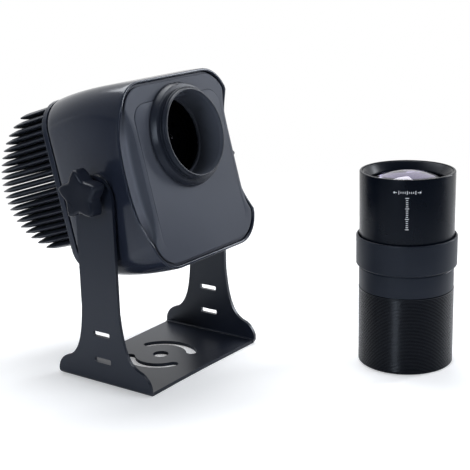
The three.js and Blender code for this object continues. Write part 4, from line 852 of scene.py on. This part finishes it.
def plain_floor():
    made, tree, shader = new_material("pale_floor")
    shader.inputs["Base Color"].default_value = FLOOR_COLOR
    shader.inputs["Roughness"].default_value = FLOOR_ROUGHNESS
    shader.inputs["Specular IOR Level"].default_value = FLOOR_SPECULAR
    mesh = bpy.data.meshes.new("floor")
    corners = [(x * FLOOR_HALF, y * FLOOR_HALF, 0) for x, y in ((-1, -1), (1, -1), (1, 1), (-1, 1))]
    mesh.from_pydata(corners, [], [(0, 1, 2, 3)])
    mesh.materials.append(made)
    obj = linked("floor", mesh)
    obj.location.z = -FLOOR_DROP

    path = node(tree, "ShaderNodeLightPath").outputs
    place = node(tree, "ShaderNodeNewGeometry").outputs["Position"]
    length = node(tree, "ShaderNodeVectorMath", operation="LENGTH")
    tree.links.new(place, length.inputs[0])
    reach, behind = length.outputs["Value"], dot(tree, place, BACKDROP)
    # It shows paler than it is, but sends no more light to the object
    glow = emission(tree, maths(tree, "MULTIPLY", path["Is Camera Ray"], FLOOR_GLOW))
    paler = node(tree, "ShaderNodeAddShader")
    tree.links.new(shader.outputs[0], paler.inputs[0])
    tree.links.new(glow, paler.inputs[1])
    # On the sides without a backdrop it ends in a dim room, which is only seen mirrored
    dim = maths(tree, "MULTIPLY", ranged(tree, behind, ROOM_SPAN, (1, 0)),
                ranged(tree, reach, BACKDROP_REACH, (0, ROOM_SHARE)))
    dimmed = maths(tree, "MULTIPLY", dim, path["Is Glossy Ray"])
    near = mixed_shaders(tree, dimmed, paler.outputs[0], emission(tree, 0.0))
    # Away from the object it turns into the white backdrop for what is seen directly or mirrored
    mirrored = maths(tree, "MULTIPLY", ranged(tree, behind, BACKDROP_SPAN), path["Is Glossy Ray"])
    seen = maths(tree, "MAXIMUM", seen_directly(tree, path), mirrored)
    far = maths(tree, "MULTIPLY", ranged(tree, reach, BACKDROP_REACH), seen)
    surface(tree, mixed_shaders(tree, far, near, emission(tree, 1.0)))


def world():
    """A white backdrop behind the object and a dimmer room in front, which light it less than they show."""
    made = bpy.data.worlds.new("studio")
    bpy.context.scene.world = made
    made.use_nodes = True
    tree = made.node_tree
    back = tree.nodes["Background"]
    back.inputs["Color"].default_value = WHITE
    path = node(tree, "ShaderNodeLightPath").outputs
    towards = dot(tree, node(tree, "ShaderNodeTexCoord").outputs["Generated"], BACKDROP)
    room = ranged(tree, towards, WORLD_SPAN, WORLD_LEVELS)
    level = maths(tree, "MULTIPLY", room, ranged(tree, path["Is Glossy Ray"], (0, 1), (WORLD_LIGHT, 1.0)))
    strength = maths(tree, "MAXIMUM", level, seen_directly(tree, path))
    tree.links.new(strength, back.inputs["Strength"])


# Lamps: place, aim, width and height, power, colour, and whether what is glossy mirrors them
LAMPS = {
    "overhead": ((0.45, 0.55, 1.5), (0, 0, 0.15), (1.4, 1.0), 24, (1, 1, 1), True),
    "right": ((1.4, -0.9, 0.75), (0, 0, 0.12), (0.3, 1.0), 14, (0.97, 0.98, 1.0), True),
    "front": ((0.5, -1.7, 1.1), (0, 0, 0.12), (1.3, 1.0), 18, (0.95, 0.97, 1.0), False),
    "left": ((-1.6, -0.25, 0.75), (0, 0, 0.12), (0.4, 1.0), 13, (0.9, 0.95, 1.0), True),
}


def lamp(name, place, aim, size, power, color, mirrored):
    data = bpy.data.lights.new(name, "AREA")
    data.shape = "RECTANGLE"
    data.size, data.size_y = size
    data.energy = power
    data.color = color
    obj = linked(name, data)
    obj.location = place
    obj.rotation_mode = "QUATERNION"
    obj.rotation_quaternion = (Vector(aim) - Vector(place)).to_track_quat("-Z", "Y")
    obj.visible_glossy = mirrored


def camera():
    data = bpy.data.cameras.new("camera")
    data.lens, data.sensor_width = CAMERA_LENS, CAMERA_SENSOR
    data.clip_start, data.clip_end = CAMERA_CLIP
    obj = linked("camera", data)
    columns = (CAMERA_RIGHT, CAMERA_UP, CAMERA_BACK, CAMERA_PLACE)
    obj.matrix_world = Matrix([[column[i] for column in columns] for i in range(3)] + [(0, 0, 0, 1)])
    bpy.context.scene.camera = obj


plain_floor()
world()
for name, settings in LAMPS.items():
    lamp(name, *settings)
camera()
bpy.context.scene.view_settings.view_transform = "Standard"
